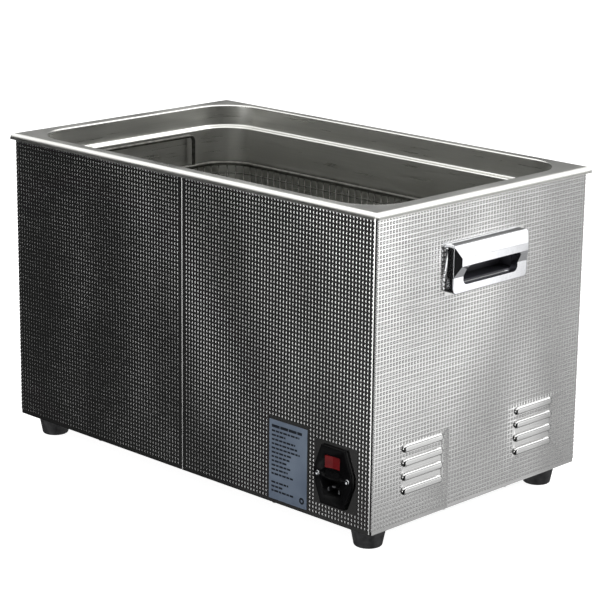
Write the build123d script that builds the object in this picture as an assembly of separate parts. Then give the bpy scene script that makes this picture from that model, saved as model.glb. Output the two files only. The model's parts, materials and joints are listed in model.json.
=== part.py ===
"""A 30 litre ultrasonic cleaner: heated bath, embossed casing, lift-out basket, drain valve and controls.

Frame: millimetres, +Z up. The control panel faces -Y, the mains inlet faces +Y, the drain valve is at +X.
Every piece is first built about the centre of the casing's footprint, on the floor. The valve and the
panel stand out on one side only, so export() then slides all of it by ORIGIN, which puts the origin at
the middle of the underside of the whole object's box.
"""

from build123d import *
from math import cos, radians, sin
import os

# ---- casing ----
FOOT_GAP = 23.0  # floor to the underside of the casing
CASE_L = 540.0  # along X
CASE_W = 322.0  # along Y
CASE_H = 316.0
CASE_CORNER = 3.0
SHEET = 1.0  # casing sheet
SEAM_GAP = 0.6
BASE_FLANGE = 8.0  # sheet turned in along the bottom
STRAP_W = 30.0
STRAP_T = 1.2
BASE_T = 1.5
FIT = 0.3  # running clearance between pieces that move or drop in

# ---- tank ----
RIM_OUT = 5.0  # rim beyond the casing, all round
RIM_T = 6.4
RIM_R = 3.5  # outer round of the rim
RIM_CORNER = 4.0
MOUTH_L = 510.0
MOUTH_W = 300.0
MOUTH_CORNER = 45.0
MOUTH_R = 3.0  # round from the rim down into the mouth
LEDGE_DROP = 24.5
LEDGE = 8.0
LEDGE_R = 3.0
TANK_DEPTH = 200.0
TANK_T = 1.5
TANK_BOTTOM_R = 12.0
RETURN_CLEAR = 5.5  # rim's turned-in edge to the tank wall, at the ends
RETURN_CLEAR_SIDE = 2.0
BRACKET_W = 30.0
BRACKET_H = 25.0
BRACKET_DOWN = 50.0  # below the ledge

# ---- feet ----
FOOT_TOP_R = 19.0
FOOT_BOTTOM_R = 14.3
FOOT_INSET = 27.5
FOOT_RECESS_R = 6.0
FOOT_RECESS = 13.0
FOOT_SCREW_R = 2.0

# ---- louvres: four to a group, two groups on each end ----
LOUVRE_L = 60.0
LOUVRE_H = 9.0
LOUVRE_OUT = 3.0
LOUVRE_PITCH = 14.6
LOUVRE_ROWS = 4
LOUVRE_LOW = 35.0  # lowest centre above the casing's underside
LOUVRE_Y = 86.7
LOUVRE_SKIN = 0.8

# ---- pull handles ----
PULL_W = 114.0
PULL_H = 49.5
PULL_Z = 250.2  # centre above the casing's underside
PULL_OUT = 8.0
PULL_LIP = 14.0
PULL_CORNER = 5.0
PULL_WALL = 2.0
GRIP_W = 84.0
GRIP_H = 21.0
GRIP_LOW = 7.5  # opening above the pull's lower edge
POCKET_W = 92.0
POCKET_H = 33.0
POCKET_IN = 18.5
POCKET_WALL = 1.5

# ---- mains inlet, on the back ----
INLET_X = -221.5
INLET_Z = 49.0  # above the casing's underside
INLET_W = 52.0
INLET_H = 61.0
INLET_TOP_W = 32.0
INLET_EAR = 5.0  # half height of the flange's upright sides
INLET_T = 3.5
INLET_BODY_W = 27.5
INLET_BODY_H = 48.0
INLET_BODY_D = 33.0
INLET_SCREW_PITCH = 40.0
SCREW_R = 1.5
SCREW_HEAD_R = 2.9
ROCKER_W = 18.0
ROCKER_H = 12.4
ROCKER_UP = 15.5  # centre above the inlet's centre
ROCKER_TILT = 8.0
ROCKER_DEEP = 4.0  # pivot behind the inlet's face
ROCKER_PIN_R = 1.4
DRAWER_W = 19.0
DRAWER_H = 7.4
DRAWER_D = 24.0
DRAWER_UP = 3.0
FUSE_R = 2.5
FUSE_L = 20.0
FUSE_X = 4.7
SOCKET_W = 24.0
SOCKET_H = 17.6
SOCKET_DOWN = 12.2
SOCKET_D = 17.0
PIN_THIN = 2.0
PIN_WIDE = 4.0
PIN_X = 7.0
LABEL_W = 53.0
LABEL_H = 84.0
LABEL_X = -157.2
LABEL_LOW = 4.0
LABEL_T = 0.3

# ---- control panel, on the front ----
PANEL_W = 260.0
PANEL_H = 84.0
PANEL_T = 4.0
PANEL_Z = 75.0  # centre above the casing's underside
PANEL_CUT_W = 236.0
PANEL_CUT_H = 60.0
WINDOW_W = 50.4
WINDOW_H = 19.4
WINDOW_X = 78.0
WINDOW_UP = 13.0
DISPLAY_D = 8.0
BUTTON_R = 6.0
BUTTON_OUT = 2.4
BUTTON_FLANGE_R = 7.4
BUTTON_STROKE = 1.2
BUTTON_DOWN = 16.0
BUTTON_SPREAD = 14.0
POST_L = 10.0
POST_R = 3.0
BOARD_T = 1.6
CONTROL_BOARD_W = 222.0
CONTROL_BOARD_H = 56.0
PANEL_SCREW_IN = 6.0

# ---- transducers, heaters and generator under and around the tank ----
TRANSDUCERS_X = 5
TRANSDUCER_PITCH = 92.0
TRANSDUCER_Y = 70.0
HORN_TOP_R = 29.5
STACK_R = 19.0
HORN_H = 22.0
CERAMIC_T = 5.0
CERAMIC_BORE = 7.5
BACK_H = 18.0
BOLT_R = 5.0
BOLT_HEAD = 6.0
HEATER_L = 300.0
HEATER_H = 0.4 * TANK_DEPTH
HEATER_T = 1.5
HEATER_UP = 0.15 * TANK_DEPTH  # stays below the brackets
THERMOSTAT_R = 12.0
THERMOSTAT_T = 7.0
GEN_X = -95.0
GEN_L = 220.0
GEN_W = 150.0
SINK_W = 40.0
SINK_L = 110.0
SINK_BASE = 4.0
SINK_H = 24.0
SINK_FIN = 1.6
SINK_FINS = 8
CORE_X = 10.0  # from the board's middle
CORE_L = 45.0
CORE_W = 16.0
CORE_H = 30.0
COIL_SIZE = 28.0
COIL_H = 20.0
CAPACITORS = 4
CAPACITOR_R = 9.0
CAPACITOR_H = 28.0
CAPACITOR_PITCH = 26.0
CAPACITOR_IN = 40.0  # from the board's end
FAN_X = 135.0
FAN_SIZE = 80.0
FAN_T = 25.0
FAN_BORE_R = 37.0
FAN_HUB_R = 16.0
FAN_BLADES = 7

# ---- drain ----
DRAIN_X = 214.0
DRAIN_Z = 39.0  # pipe above the casing's underside
DRAIN_BORE_R = 8.0
PIPE_R = 10.0
PIPE_BEND = 26.0
FITTING_FLANGE_R = 18.0
FITTING_R = 12.5
FITTING_DOWN = 20.0
NUT_AF = 32.0
NUT_T = 6.0
VALVE_L = 38.0
VALVE_R = 15.0
BALL_R = 10.4
BALL_BORE_R = 7.0
BALL_GAP = 0.15
STEM_R = 3.5
STEM_GAP = 0.08
BOSS_R = 7.0
BOSS_H = 20.0  # top of the boss above the pipe's axis
LEVER_L = 72.0
LEVER_W = 14.0
LEVER_T = 3.0
TAIL_HEX_AF = 24.0
TAIL_HEX_T = 6.0
TAIL_R = 8.0
TAIL_L = 16.0

# ---- basket ----
BASKET_CLEAR = 7.0  # rim's centre line to the tank wall, at the ends
BASKET_CLEAR_SIDE = 8.0
BASKET_CORNER = 40.0
BASKET_RIM_R = 2.75
BASKET_RIM_DOWN = 66.0  # rim's centre line below the tank's top
BASKET_MESH_T = 1.6
BASKET_FEET_H = 30.0
BASKET_FOOT_R = 3.0
BASKET_FOOT_X = 160.0
BASKET_FOOT_Y = 95.0
BAIL_R = 2.0
BAIL_W = 158.0
BAIL_UP = 37.0  # bail's top above the rim, centre lines
BAIL_BEND = 7.0
CORNER_PANELS = 3

# ---- heights and planes that follow ----
Z0 = FOOT_GAP
Z1 = Z0 + CASE_H
TOP = Z1 + RIM_T
TANK_FLOOR = TOP - TANK_DEPTH  # inside face of the tank's floor
TANK_UNDER = TANK_FLOOR - TANK_T
LEDGE_Z = TOP - LEDGE_DROP
TANK_L = MOUTH_L - 2 * LEDGE
TANK_W = MOUTH_W - 2 * LEDGE
BASE_Z = Z0 + SHEET
DECK = BASE_Z + BASE_T  # upper face of the base plate
BOARD_TOP = DECK + POST_L + BOARD_T  # upper face of the generator board
FRONT_Y = -CASE_W / 2
BACK_Y = CASE_W / 2
END_X = CASE_L / 2
INLET_FACE = BACK_Y + INLET_T
PANEL_FACE = FRONT_Y - PANEL_T
PIPE_Z = Z0 + DRAIN_Z
VALVE_X0 = END_X + 1.5
VALVE_X1 = VALVE_X0 + VALVE_L
VALVE_XC = (VALVE_X0 + VALVE_X1) / 2
TAIL_END = VALVE_X1 + TAIL_HEX_T + TAIL_L
BUTTON_FRONT = PANEL_FACE - BUTTON_OUT
RIM_Z = TOP - BASKET_RIM_DOWN
BASKET_L = TANK_L - 2 * BASKET_CLEAR
BASKET_W = TANK_W - 2 * BASKET_CLEAR_SIDE
MESH_LOW = TANK_FLOOR + BASKET_FEET_H

ORIGIN = Pos(
    (END_X + PULL_LIP - TAIL_END) / 2,
    -(BACK_Y + RIM_OUT + BUTTON_FRONT) / 2,
    0,
)


def block(length, width, height, x=0.0, y=0.0, z=0.0):
    """A box centred on x and y that stands on z."""
    return Pos(x, y, z) * Box(length, width, height, align=(Align.CENTER, Align.CENTER, Align.MIN))


def rod(radius, length, at, turn=(0, 0, 0)):
    """A cylinder that starts at a point and runs up, or along the turned Z."""
    base = (Align.CENTER, Align.CENTER, Align.MIN)
    return Pos(*at) * Rot(*turn) * Cylinder(radius, length, align=base)


ALONG_X = (0, 90, 0)
ALONG_Y = (-90, 0, 0)
BACKWARD_X = (0, -90, 0)
BACKWARD_Y = (90, 0, 0)


def slab(length, width, corner, low, high):
    """An upright prism with rounded corners between two heights."""
    return Pos(0, 0, low) * extrude(RectangleRounded(length, width, corner), high - low)


def wall_plate(length, height, corner, depth, x, y, z):
    """A plate with rounded corners that faces -Y: its front is at y and it goes back by depth."""
    face = Plane((x, y, z), x_dir=(1, 0, 0), z_dir=(0, -1, 0)) * RectangleRounded(length, height, corner)
    return extrude(face, -depth)


def edges_at(shape, z, near=0.01):
    """The edges that lie flat at one height."""
    return [e for e in shape.edges() if abs(e.center().Z - z) < near and e.bounding_box().size.Z < near]


def group(shapes):
    """Separate solids that share one node."""
    return Compound([solid for shape in shapes for solid in shape.solids()])


def cell(points, low, high):
    """An upright prism over a plan outline between two heights."""
    return Pos(0, 0, low) * extrude(make_face(Polyline(*points, close=True)), high - low)


def room(x0, x1, y0, y1, low, high):
    """A box between two places along each axis."""
    return Pos(x0, y0, low) * Box(x1 - x0, y1 - y0, high - low, align=(Align.MIN,) * 3)


def parted(sheet, cells):
    """One bent sheet as plain solids that meet face to face, so that each is nearly convex."""
    return group(sheet & one for one in cells)


def export(name, shape):
    export_step(ORIGIN * shape, f"parts/{name}.step")


# ---- casing ----
def louvre_places():
    for side in (-1, 1):
        for row in range(LOUVRE_ROWS):
            yield side * LOUVRE_Y, Z0 + LOUVRE_LOW + row * LOUVRE_PITCH


def louvre_pad(grow, out, y, z, end):
    """A raised slot-shaped pad on an end wall, with its top edge rounded."""
    plane = Plane((end * END_X, y, z), x_dir=(0, end, 0), z_dir=(end, 0, 0))
    pad = extrude(plane * SlotOverall(LOUVRE_L + 2 * grow, LOUVRE_H + 2 * grow), out)
    crown = [e for e in pad.edges() if abs(e.center().X - end * (END_X + out)) < 0.01]
    return fillet(crown, out - 0.4)


def foot_places():
    for x in (-1, 1):
        for y in (-1, 1):
            yield x * (END_X - FOOT_INSET), y * (BACK_Y - FOOT_INSET)


def base_screw_places():
    edge = SHEET + (BASE_FLANGE - SHEET) / 2
    for x in (-0.25, 0.25):
        for side in (-1, 1):
            yield x * CASE_L, side * (BACK_Y - edge)
    for y in (-0.15, 0.15):
        for side in (-1, 1):
            yield side * (END_X - edge), y * CASE_W


def pull_screw_places(end):
    for side in (-1, 1):
        yield end * END_X, side * (POCKET_W / 2 + PULL_W / 2) / 2, Z0 + PULL_Z


def inlet_screw_places():
    for side in (-1, 1):
        yield INLET_X + side * INLET_SCREW_PITCH / 2, Z0 + INLET_Z


def panel_screw_places():
    for sx in (-1, 1):
        for sz in (-1, 1):
            yield sx * (PANEL_W / 2 - PANEL_SCREW_IN), Z0 + PANEL_Z + sz * (PANEL_H / 2 - PANEL_SCREW_IN)


def casing_wrap():
    """One sheet folded round four sides, its ends meeting at the middle of the back."""
    shell = slab(CASE_L, CASE_W, CASE_CORNER, Z0, Z1)
    shell -= slab(CASE_L - 2 * SHEET, CASE_W - 2 * SHEET, CASE_CORNER - SHEET, BASE_Z, Z1 - SHEET)
    opening_l = MOUTH_L + 2 * (TANK_T + RETURN_CLEAR)
    opening_w = MOUTH_W + 2 * (TANK_T + RETURN_CLEAR_SIDE)
    shell -= slab(opening_l, opening_w, CASE_CORNER, Z1 - 2 * SHEET, Z1 + SHEET)
    under = slab(CASE_L - 2 * BASE_FLANGE, CASE_W - 2 * BASE_FLANGE, CASE_CORNER, Z0 - SHEET, BASE_Z + SHEET)
    shell -= under
    shell -= block(SEAM_GAP, 60, CASE_H + 2, 0, BACK_Y, Z0 - 1)
    for end in (-1, 1):
        for y, z in louvre_places():
            shell += louvre_pad(0, LOUVRE_OUT, y, z, end)
            core = louvre_pad(-LOUVRE_SKIN, LOUVRE_OUT - LOUVRE_SKIN, y, z, end)
            plane = Plane((end * (END_X + 0.01), y, z), x_dir=(0, end, 0), z_dir=(-end, 0, 0))
            core += extrude(plane * SlotOverall(LOUVRE_L - 2 * LOUVRE_SKIN, LOUVRE_H - 2 * LOUVRE_SKIN), 2 * SHEET)
            shell -= core
            shell -= block(2 * LOUVRE_OUT, LOUVRE_L - LOUVRE_H, 2 * LOUVRE_SKIN,
                           end * (END_X + LOUVRE_OUT / 2 + SHEET + 1), y, z - LOUVRE_H / 2 - LOUVRE_SKIN / 2)
        shell -= block(4 * SHEET, POCKET_W + 2 * FIT, POCKET_H + 2 * FIT, end * END_X, 0,
                       Z0 + PULL_Z - POCKET_H / 2 - FIT)
        for x, y, z in pull_screw_places(end):
            shell -= rod(SCREW_R + FIT / 2, 4 * SHEET, (x - 2 * SHEET, y, z), ALONG_X)
    shell -= block(INLET_BODY_W + 2 * FIT, 4 * SHEET, INLET_BODY_H + 2 * FIT, INLET_X, BACK_Y,
                   Z0 + INLET_Z - INLET_BODY_H / 2 - FIT)
    for x, z in inlet_screw_places():
        shell -= rod(SCREW_R + FIT / 2, 4 * SHEET, (x, BACK_Y - 2 * SHEET, z), ALONG_Y)
    shell -= block(PANEL_CUT_W, 4 * SHEET, PANEL_CUT_H, 0, FRONT_Y, Z0 + PANEL_Z - PANEL_CUT_H / 2)
    for x, z in panel_screw_places():
        shell -= rod(SCREW_R + FIT / 2, 4 * SHEET, (x, FRONT_Y - 2 * SHEET, z), ALONG_Y)
    shell -= rod(PIPE_R + 2 * FIT, 4 * SHEET, (END_X - 2 * SHEET, 0, PIPE_Z), ALONG_X)
    for x, y in base_screw_places():
        shell -= rod(SCREW_R + FIT / 2, 4 * SHEET, (x, y, Z0 - SHEET))
    return shell


def wall_rooms(low_x, high_x, hole_x, low_y, high_y, hole_z):
    """A back or front wall round its hole: beside it at full height, then below and above it."""
    low, high = BASE_Z, Z1 - SHEET
    yield room(low_x, hole_x[0], low_y, high_y, low, high)
    yield room(hole_x[1], high_x, low_y, high_y, low, high)
    yield room(*hole_x, low_y, high_y, low, hole_z[0])
    yield room(*hole_x, low_y, high_y, hole_z[1], high)


def wrap_rooms():
    """The turned-in edges, then each wall parted round its openings and above its louvres."""
    x_far, y_far = END_X + 2 * LOUVRE_OUT, BACK_Y + 2 * LOUVRE_OUT
    turned, fold = END_X - BASE_FLANGE, END_X - CASE_CORNER
    for low, high in ((Z0 - 1, BASE_Z), (Z1 - SHEET, Z1 + 1)):
        yield room(-x_far, -turned, -y_far, y_far, low, high)
        yield room(turned, x_far, -y_far, y_far, low, high)
        yield room(-turned, turned, -y_far, 0, low, high)
        yield room(-turned, turned, 0, y_far, low, high)
    grip_y = POCKET_W / 2 + FIT
    grip_low = Z0 + PULL_Z - POCKET_H / 2 - FIT
    louvres_top = Z0 + LOUVRE_LOW + (LOUVRE_ROWS - 1) * LOUVRE_PITCH + LOUVRE_H / 2 + LOUVRE_OUT
    for x0, x1 in ((-x_far, -fold), (fold, x_far)):
        for y0, y1 in ((-y_far, -grip_y), (grip_y, y_far)):
            yield room(x0, x1, y0, y1, BASE_Z, louvres_top)
            yield room(x0, x1, y0, y1, louvres_top, Z1 - SHEET)
        yield room(x0, x1, -grip_y, grip_y, BASE_Z, grip_low)
        yield room(x0, x1, -grip_y, grip_y, grip_low + POCKET_H + 2 * FIT, Z1 - SHEET)
    half_w, half_h = INLET_BODY_W / 2 + FIT, INLET_BODY_H / 2 + FIT
    inlet_x = (INLET_X - half_w, INLET_X + half_w)
    yield from wall_rooms(-fold, 0, inlet_x, 0, y_far, (Z0 + INLET_Z - half_h, Z0 + INLET_Z + half_h))
    yield room(0, fold, 0, y_far, BASE_Z, Z1 - SHEET)
    panel_x = (-PANEL_CUT_W / 2, PANEL_CUT_W / 2)
    panel_z = (Z0 + PANEL_Z - PANEL_CUT_H / 2, Z0 + PANEL_Z + PANEL_CUT_H / 2)
    yield from wall_rooms(-fold, fold, panel_x, -y_far, 0, panel_z)


def seam_strap():
    """The strip behind the seam that both ends of the wrap are welded to."""
    return block(STRAP_W, STRAP_T, CASE_H - 2 * SHEET - BASE_T, 0, BACK_Y - SHEET - STRAP_T / 2, DECK)


def base_plate():
    plate = slab(CASE_L - 2 * SHEET - 2 * FIT, CASE_W - 2 * SHEET - 2 * FIT, CASE_CORNER, BASE_Z, DECK)
    for x, y in foot_places():
        plate -= rod(FOOT_SCREW_R + FIT / 2, 4 * BASE_T, (x, y, BASE_Z - BASE_T))
    for x, y in base_screw_places():
        plate -= rod(SCREW_R + FIT / 2, 4 * BASE_T, (x, y, BASE_Z - BASE_T))
    slots = 7
    for i in range(slots):
        offset = (i - (slots - 1) / 2) * 10
        reach = 2 * (FAN_BORE_R**2 - offset**2) ** 0.5 - 6
        slot = Plane((FAN_X, offset, BASE_Z - BASE_T)) * SlotOverall(reach, 5)
        plate -= extrude(slot, 4 * BASE_T)
    return plate


def pan_screw(at, turn, shank):
    """A pan head screw whose head sits outside the point and whose shank runs along the turned Z."""
    head_h = 1.8
    head = Cylinder(SCREW_HEAD_R, head_h, align=(Align.CENTER, Align.CENTER, Align.MAX))
    head = fillet([e for e in head.edges() if e.center().Z < -head_h / 2], 0.8)
    head -= Pos(0, 0, -head_h) * Box(0.7, 3.4, 1.6)
    head -= Pos(0, 0, -head_h) * Box(3.4, 0.7, 1.6)
    return Pos(*at) * Rot(*turn) * (head + Cylinder(SCREW_R, shank, align=(Align.CENTER, Align.CENTER, Align.MIN)))


def foot(x, y):
    """A tapered rubber foot with a recess for its screw."""
    height = BASE_Z
    cone = Pos(x, y, 0) * Cone(FOOT_BOTTOM_R, FOOT_TOP_R, height, align=(Align.CENTER, Align.CENTER, Align.MIN))
    cone = fillet(edges_at(cone, 0), 2.0)
    cone -= rod(FOOT_RECESS_R, FOOT_RECESS, (x, y, 0))
    return cone - rod(FOOT_SCREW_R + FIT / 2, height, (x, y, 0))


def foot_screw(x, y):
    head = rod(FOOT_RECESS_R - 1.5, 3.2, (x, y, FOOT_RECESS - 3.2))
    head -= extrude(Plane((x, y, FOOT_RECESS - 3.2)) * RegularPolygon(2.3, 6), 1.8)
    return head + rod(FOOT_SCREW_R, DECK + 3 - FOOT_RECESS, (x, y, FOOT_RECESS))


# ---- tank ----
def bath(grow, top):
    """The bath's space, grown outwards by a wall: a shallow wide mouth over the deep tank."""
    mouth = slab(MOUTH_L + 2 * grow, MOUTH_W + 2 * grow, MOUTH_CORNER + grow, LEDGE_Z - grow, top)
    deep = slab(TANK_L + 2 * grow, TANK_W + 2 * grow, MOUTH_CORNER - LEDGE + grow, TANK_FLOOR - grow, LEDGE_Z)
    mouth = fillet(edges_at(mouth, LEDGE_Z - grow), LEDGE_R + grow)
    deep = fillet(edges_at(deep, TANK_FLOOR - grow), TANK_BOTTOM_R + grow)
    both = mouth + deep
    inner = [e for e in edges_at(both, LEDGE_Z - grow) if abs(e.center().X) <= TANK_L / 2 + grow + 0.01]
    return fillet(inner, LEDGE_R - grow / 2)


def tank():
    """Pressed stainless tank: hollow rolled rim, mouth, ledge, deep walls, floor and drain hole."""
    rim = slab(CASE_L + 2 * RIM_OUT, CASE_W + 2 * RIM_OUT, RIM_CORNER, Z1, TOP)
    rim = fillet(edges_at(rim, TOP), RIM_R)
    hollow_l = CASE_L + 2 * RIM_OUT - 2 * TANK_T
    hollow_w = CASE_W + 2 * RIM_OUT - 2 * TANK_T
    rim -= slab(hollow_l, hollow_w, RIM_CORNER - TANK_T, Z1 + TANK_T, TOP - TANK_T)
    return_l = MOUTH_L + 2 * (TANK_T + RETURN_CLEAR)
    return_w = MOUTH_W + 2 * (TANK_T + RETURN_CLEAR_SIDE)
    rim -= slab(return_l, return_w, CASE_CORNER, Z1 - 1, Z1 + 2 * TANK_T)
    body = rim + bath(TANK_T, TOP) - bath(0, TOP + 1)
    mouth_edge = [e for e in edges_at(body, TOP) if abs(e.center().X) <= MOUTH_L / 2 + 0.01
                  and abs(e.center().Y) <= MOUTH_W / 2 + 0.01]
    body = fillet(mouth_edge, MOUTH_R)
    return body - rod(FITTING_R + FIT / 2, 6 * TANK_T, (DRAIN_X, 0, TANK_UNDER - TANK_T))


def ring_cells(low, high, inset=0.0):
    """Four straight sides and two halves of each corner, all round the mouth; sides start past the inset."""
    x, y = MOUTH_L / 2 - MOUTH_CORNER, MOUTH_W / 2 - MOUTH_CORNER
    far = 2 * MOUTH_CORNER
    for sy in (-1, 1):
        yield cell([(-x, sy * (y + inset)), (x, sy * (y + inset)), (x, sy * (y + far)), (-x, sy * (y + far))], low, high)
        yield cell([(sy * (x + inset), -y), (sy * (x + far), -y), (sy * (x + far), y), (sy * (x + inset), y)], low, high)
        for sx in (-1, 1):
            centre, tip = (sx * x, sy * y), (sx * (x + far), sy * (y + far))
            yield cell([centre, (tip[0], centre[1]), tip], low, high)
            yield cell([centre, tip, (centre[0], tip[1])], low, high)


def tank_cells():
    """The rim with the mouth, the ledge with the deep walls, and the floor parted round its drain hole."""
    bend = TANK_FLOOR + TANK_BOTTOM_R
    yield from ring_cells(LEDGE_Z, TOP + 1)
    yield from ring_cells(bend, LEDGE_Z)
    inset = MOUTH_CORNER - LEDGE - TANK_BOTTOM_R
    low = TANK_UNDER - 1
    yield from ring_cells(low, bend, inset)
    x, y = MOUTH_L / 2 - MOUTH_CORNER, MOUTH_W / 2 - MOUTH_CORNER
    hole = FITTING_R + FIT / 2
    yield room(-x, DRAIN_X - hole, -y - inset, y + inset, low, bend)
    yield room(-x - inset, -x, -y, y, low, bend)
    yield room(DRAIN_X + hole, x + inset, -y, y, low, bend)
    yield room(DRAIN_X - hole, DRAIN_X + hole, -hole, hole, low, bend)
    for y0, y1 in ((hole, y), (-y, -hole)):
        yield room(DRAIN_X - hole, DRAIN_X + hole, y0, y1, low, bend)
    for y0, y1 in ((y, y + inset), (-y - inset, -y)):
        yield room(DRAIN_X - hole, x, y0, y1, low, bend)


def tank_bracket(length):
    """An angle that ties the tank wall to the casing wall; it reaches from y=0 to y=length."""
    leaf = block(BRACKET_W, length, TANK_T, 0, length / 2, 0)
    return leaf + block(BRACKET_W, TANK_T, BRACKET_H, 0, length - TANK_T / 2, TANK_T)


def tank_brackets():
    level = LEDGE_Z - BRACKET_DOWN
    side_gap = BACK_Y - SHEET - TANK_W / 2 - TANK_T
    end_gap = END_X - SHEET - TANK_L / 2 - TANK_T
    for x in (-0.3, 0.3):
        for turn, side in ((0, 1), (180, -1)):
            yield Pos(x * CASE_L, side * (TANK_W / 2 + TANK_T), level) * Rot(0, 0, turn) * tank_bracket(side_gap)
    for y in (-0.3, 0.3):
        for turn, end in ((-90, 1), (90, -1)):
            yield Pos(end * (TANK_L / 2 + TANK_T), y * CASE_W, level) * Rot(0, 0, turn) * tank_bracket(end_gap)


# ---- pull handles; both are built for the +X end and turned round for the other ----
def side_view(points):
    """A face in the XZ plane through the given corners, ready to be pulled out both ways along Y."""
    return make_face(Plane.XZ * Polyline(*points, close=True))


def pull():
    """Bright moulded frame with a hood over the finger opening."""
    low = Z0 + PULL_Z - PULL_H / 2
    high = low + PULL_H
    lip_low = low + GRIP_LOW + GRIP_H
    plate = END_X + PULL_OUT
    lip = END_X + PULL_LIP
    profile = [
        (END_X, low), (plate, low), (plate, lip_low - 12), (lip, lip_low),
        (lip, lip_low + 8), (plate, high - 1), (END_X, high),
    ]
    body = extrude(side_view(profile), PULL_W / 2, both=True)
    facing = Plane((END_X - 1, 0, Z0 + PULL_Z), x_dir=(0, 1, 0), z_dir=(1, 0, 0))
    body &= extrude(facing * RectangleRounded(PULL_W, PULL_H, PULL_CORNER), PULL_LIP + 2)
    slant = PULL_LIP - PULL_OUT + 1
    for side in (-1, 1):
        edge = side * PULL_W / 2
        cheek = Polyline((plate, edge), (lip + 1, edge - side * slant), (lip + 1, edge + side), (plate, edge + side),
                         close=True)
        body -= Pos(0, 0, low - 1) * extrude(make_face(cheek), PULL_H + 2)
    body = fillet([e for e in body.edges() if e.center().X > END_X + PULL_OUT / 2 + 0.1], 0.7)
    grip_z = low + GRIP_LOW + GRIP_H / 2
    grip = Plane((END_X - 1, 0, grip_z), x_dir=(0, 1, 0), z_dir=(1, 0, 0)) * RectangleRounded(GRIP_W, GRIP_H, 6)
    body -= extrude(grip, PULL_LIP + 4)
    hood = [
        (END_X - 1, lip_low - 7), (lip - PULL_WALL, lip_low - 7), (lip - PULL_WALL, lip_low + 7),
        (plate - PULL_WALL, high - 5 - PULL_WALL), (END_X - 1, high - 5 - PULL_WALL),
    ]
    body -= extrude(side_view(hood), GRIP_W / 2 - 1, both=True)
    for x, y, z in pull_screw_places(1):
        body -= rod(SCREW_R, PULL_OUT - 2, (x, y, z), ALONG_X)
    return body


def pull_pocket():
    """The black box behind the pull that the fingers go into."""
    x = END_X - POCKET_IN
    z = Z0 + PULL_Z - POCKET_H / 2
    outer = block(POCKET_IN, POCKET_W, POCKET_H, x + POCKET_IN / 2, 0, z)
    inner = block(POCKET_IN, POCKET_W - 2 * POCKET_WALL, POCKET_H - 2 * POCKET_WALL,
                  x + POCKET_IN / 2 + POCKET_WALL, 0, z + POCKET_WALL)
    return outer - inner


def pull_screws():
    for end, turn in ((-1, BACKWARD_X), (1, ALONG_X)):
        for x, y, z in pull_screw_places(end):
            yield pan_screw((x - end * SHEET, y, z), turn, SHEET + PULL_OUT - 3)


# ---- mains inlet ----
def inlet_outline():
    """Eight-sided flange: narrow top and bottom, widest at the two screw ears."""
    half_w, half_h, half_top = INLET_W / 2, INLET_H / 2, INLET_TOP_W / 2
    corners = [(half_top, half_h), (half_w, INLET_EAR), (half_w, -INLET_EAR), (half_top, -half_h)]
    corners += [(-x, y) for x, y in reversed(corners)]
    return make_face(Polyline(*corners, close=True))


def inlet_body():
    face = Plane((INLET_X, INLET_FACE, Z0 + INLET_Z), x_dir=(-1, 0, 0), z_dir=(0, 1, 0))
    flange = extrude(face * inlet_outline(), -INLET_T)
    flange = fillet([e for e in flange.edges() if e.center().Y > INLET_FACE - 0.01], 0.8)
    body = flange + extrude(face * Rectangle(INLET_BODY_W, INLET_BODY_H), -(INLET_T + INLET_BODY_D))
    for up, width, height, deep in (
        (ROCKER_UP, ROCKER_W + 2.2, ROCKER_H + 2 * FIT, 16.0),
        (DRAWER_UP, DRAWER_W + 2 * FIT, DRAWER_H + 2 * FIT, DRAWER_D + 2),
        (-SOCKET_DOWN, SOCKET_W, SOCKET_H, SOCKET_D),
    ):
        body -= extrude(face * Pos(0, up) * Rectangle(width, height), -deep)
    for x, z in inlet_screw_places():
        body -= rod(SCREW_R + FIT / 2, 3 * INLET_T, (x, INLET_FACE - 2 * INLET_T, z), ALONG_Y)
        body -= rod(SCREW_HEAD_R + FIT / 2, 2, (x, INLET_FACE - 1.2, z), ALONG_Y)
    for x, z, wide, tall in inlet_pin_places():
        body -= block(wide + 0.1, 2 * INLET_BODY_D, tall + 0.1, x, INLET_FACE - SOCKET_D - INLET_BODY_D,
                      z - tall / 2 - 0.05)
    pivot = (INLET_X, INLET_FACE - ROCKER_DEEP, Z0 + INLET_Z + ROCKER_UP - ROCKER_H / 2 - 1.6)
    return body - rod(ROCKER_PIN_R + 0.05, ROCKER_H + 3.2, pivot)


def inlet_pin_places():
    """Two upright live blades and a flat earth blade a little higher: x, z, width and height of each."""
    z = Z0 + INLET_Z - SOCKET_DOWN
    yield INLET_X - PIN_X, z - 2, PIN_THIN, PIN_WIDE
    yield INLET_X + PIN_X, z - 2, PIN_THIN, PIN_WIDE
    yield INLET_X, z + 2, PIN_WIDE, PIN_THIN


def inlet_pins():
    back = INLET_FACE - INLET_T - INLET_BODY_D - 8
    front = INLET_FACE - 2.5
    for x, z, wide, tall in inlet_pin_places():
        yield block(wide, front - back, tall, x, (front + back) / 2, z - tall / 2)


def rocker_switch():
    """A saddle-shaped rocker, pressed down on one side, with its two pivot pins."""
    half = ROCKER_W / 2
    section = make_face(Polyline((-half, 5.2), (0, 3.8), (half, 5.2), (half, 0.5), (3, -5), (-3, -5), (-half, 0.5),
                                 close=True))
    body = extrude(section, ROCKER_H / 2, both=True)
    body = fillet([e for e in body.edges() if e.center().Y > 3.5], 0.5)
    body += Cylinder(ROCKER_PIN_R, ROCKER_H + 2.6)
    return Pos(INLET_X, INLET_FACE - ROCKER_DEEP, Z0 + INLET_Z + ROCKER_UP) * Rot(0, 0, ROCKER_TILT) * body


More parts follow.
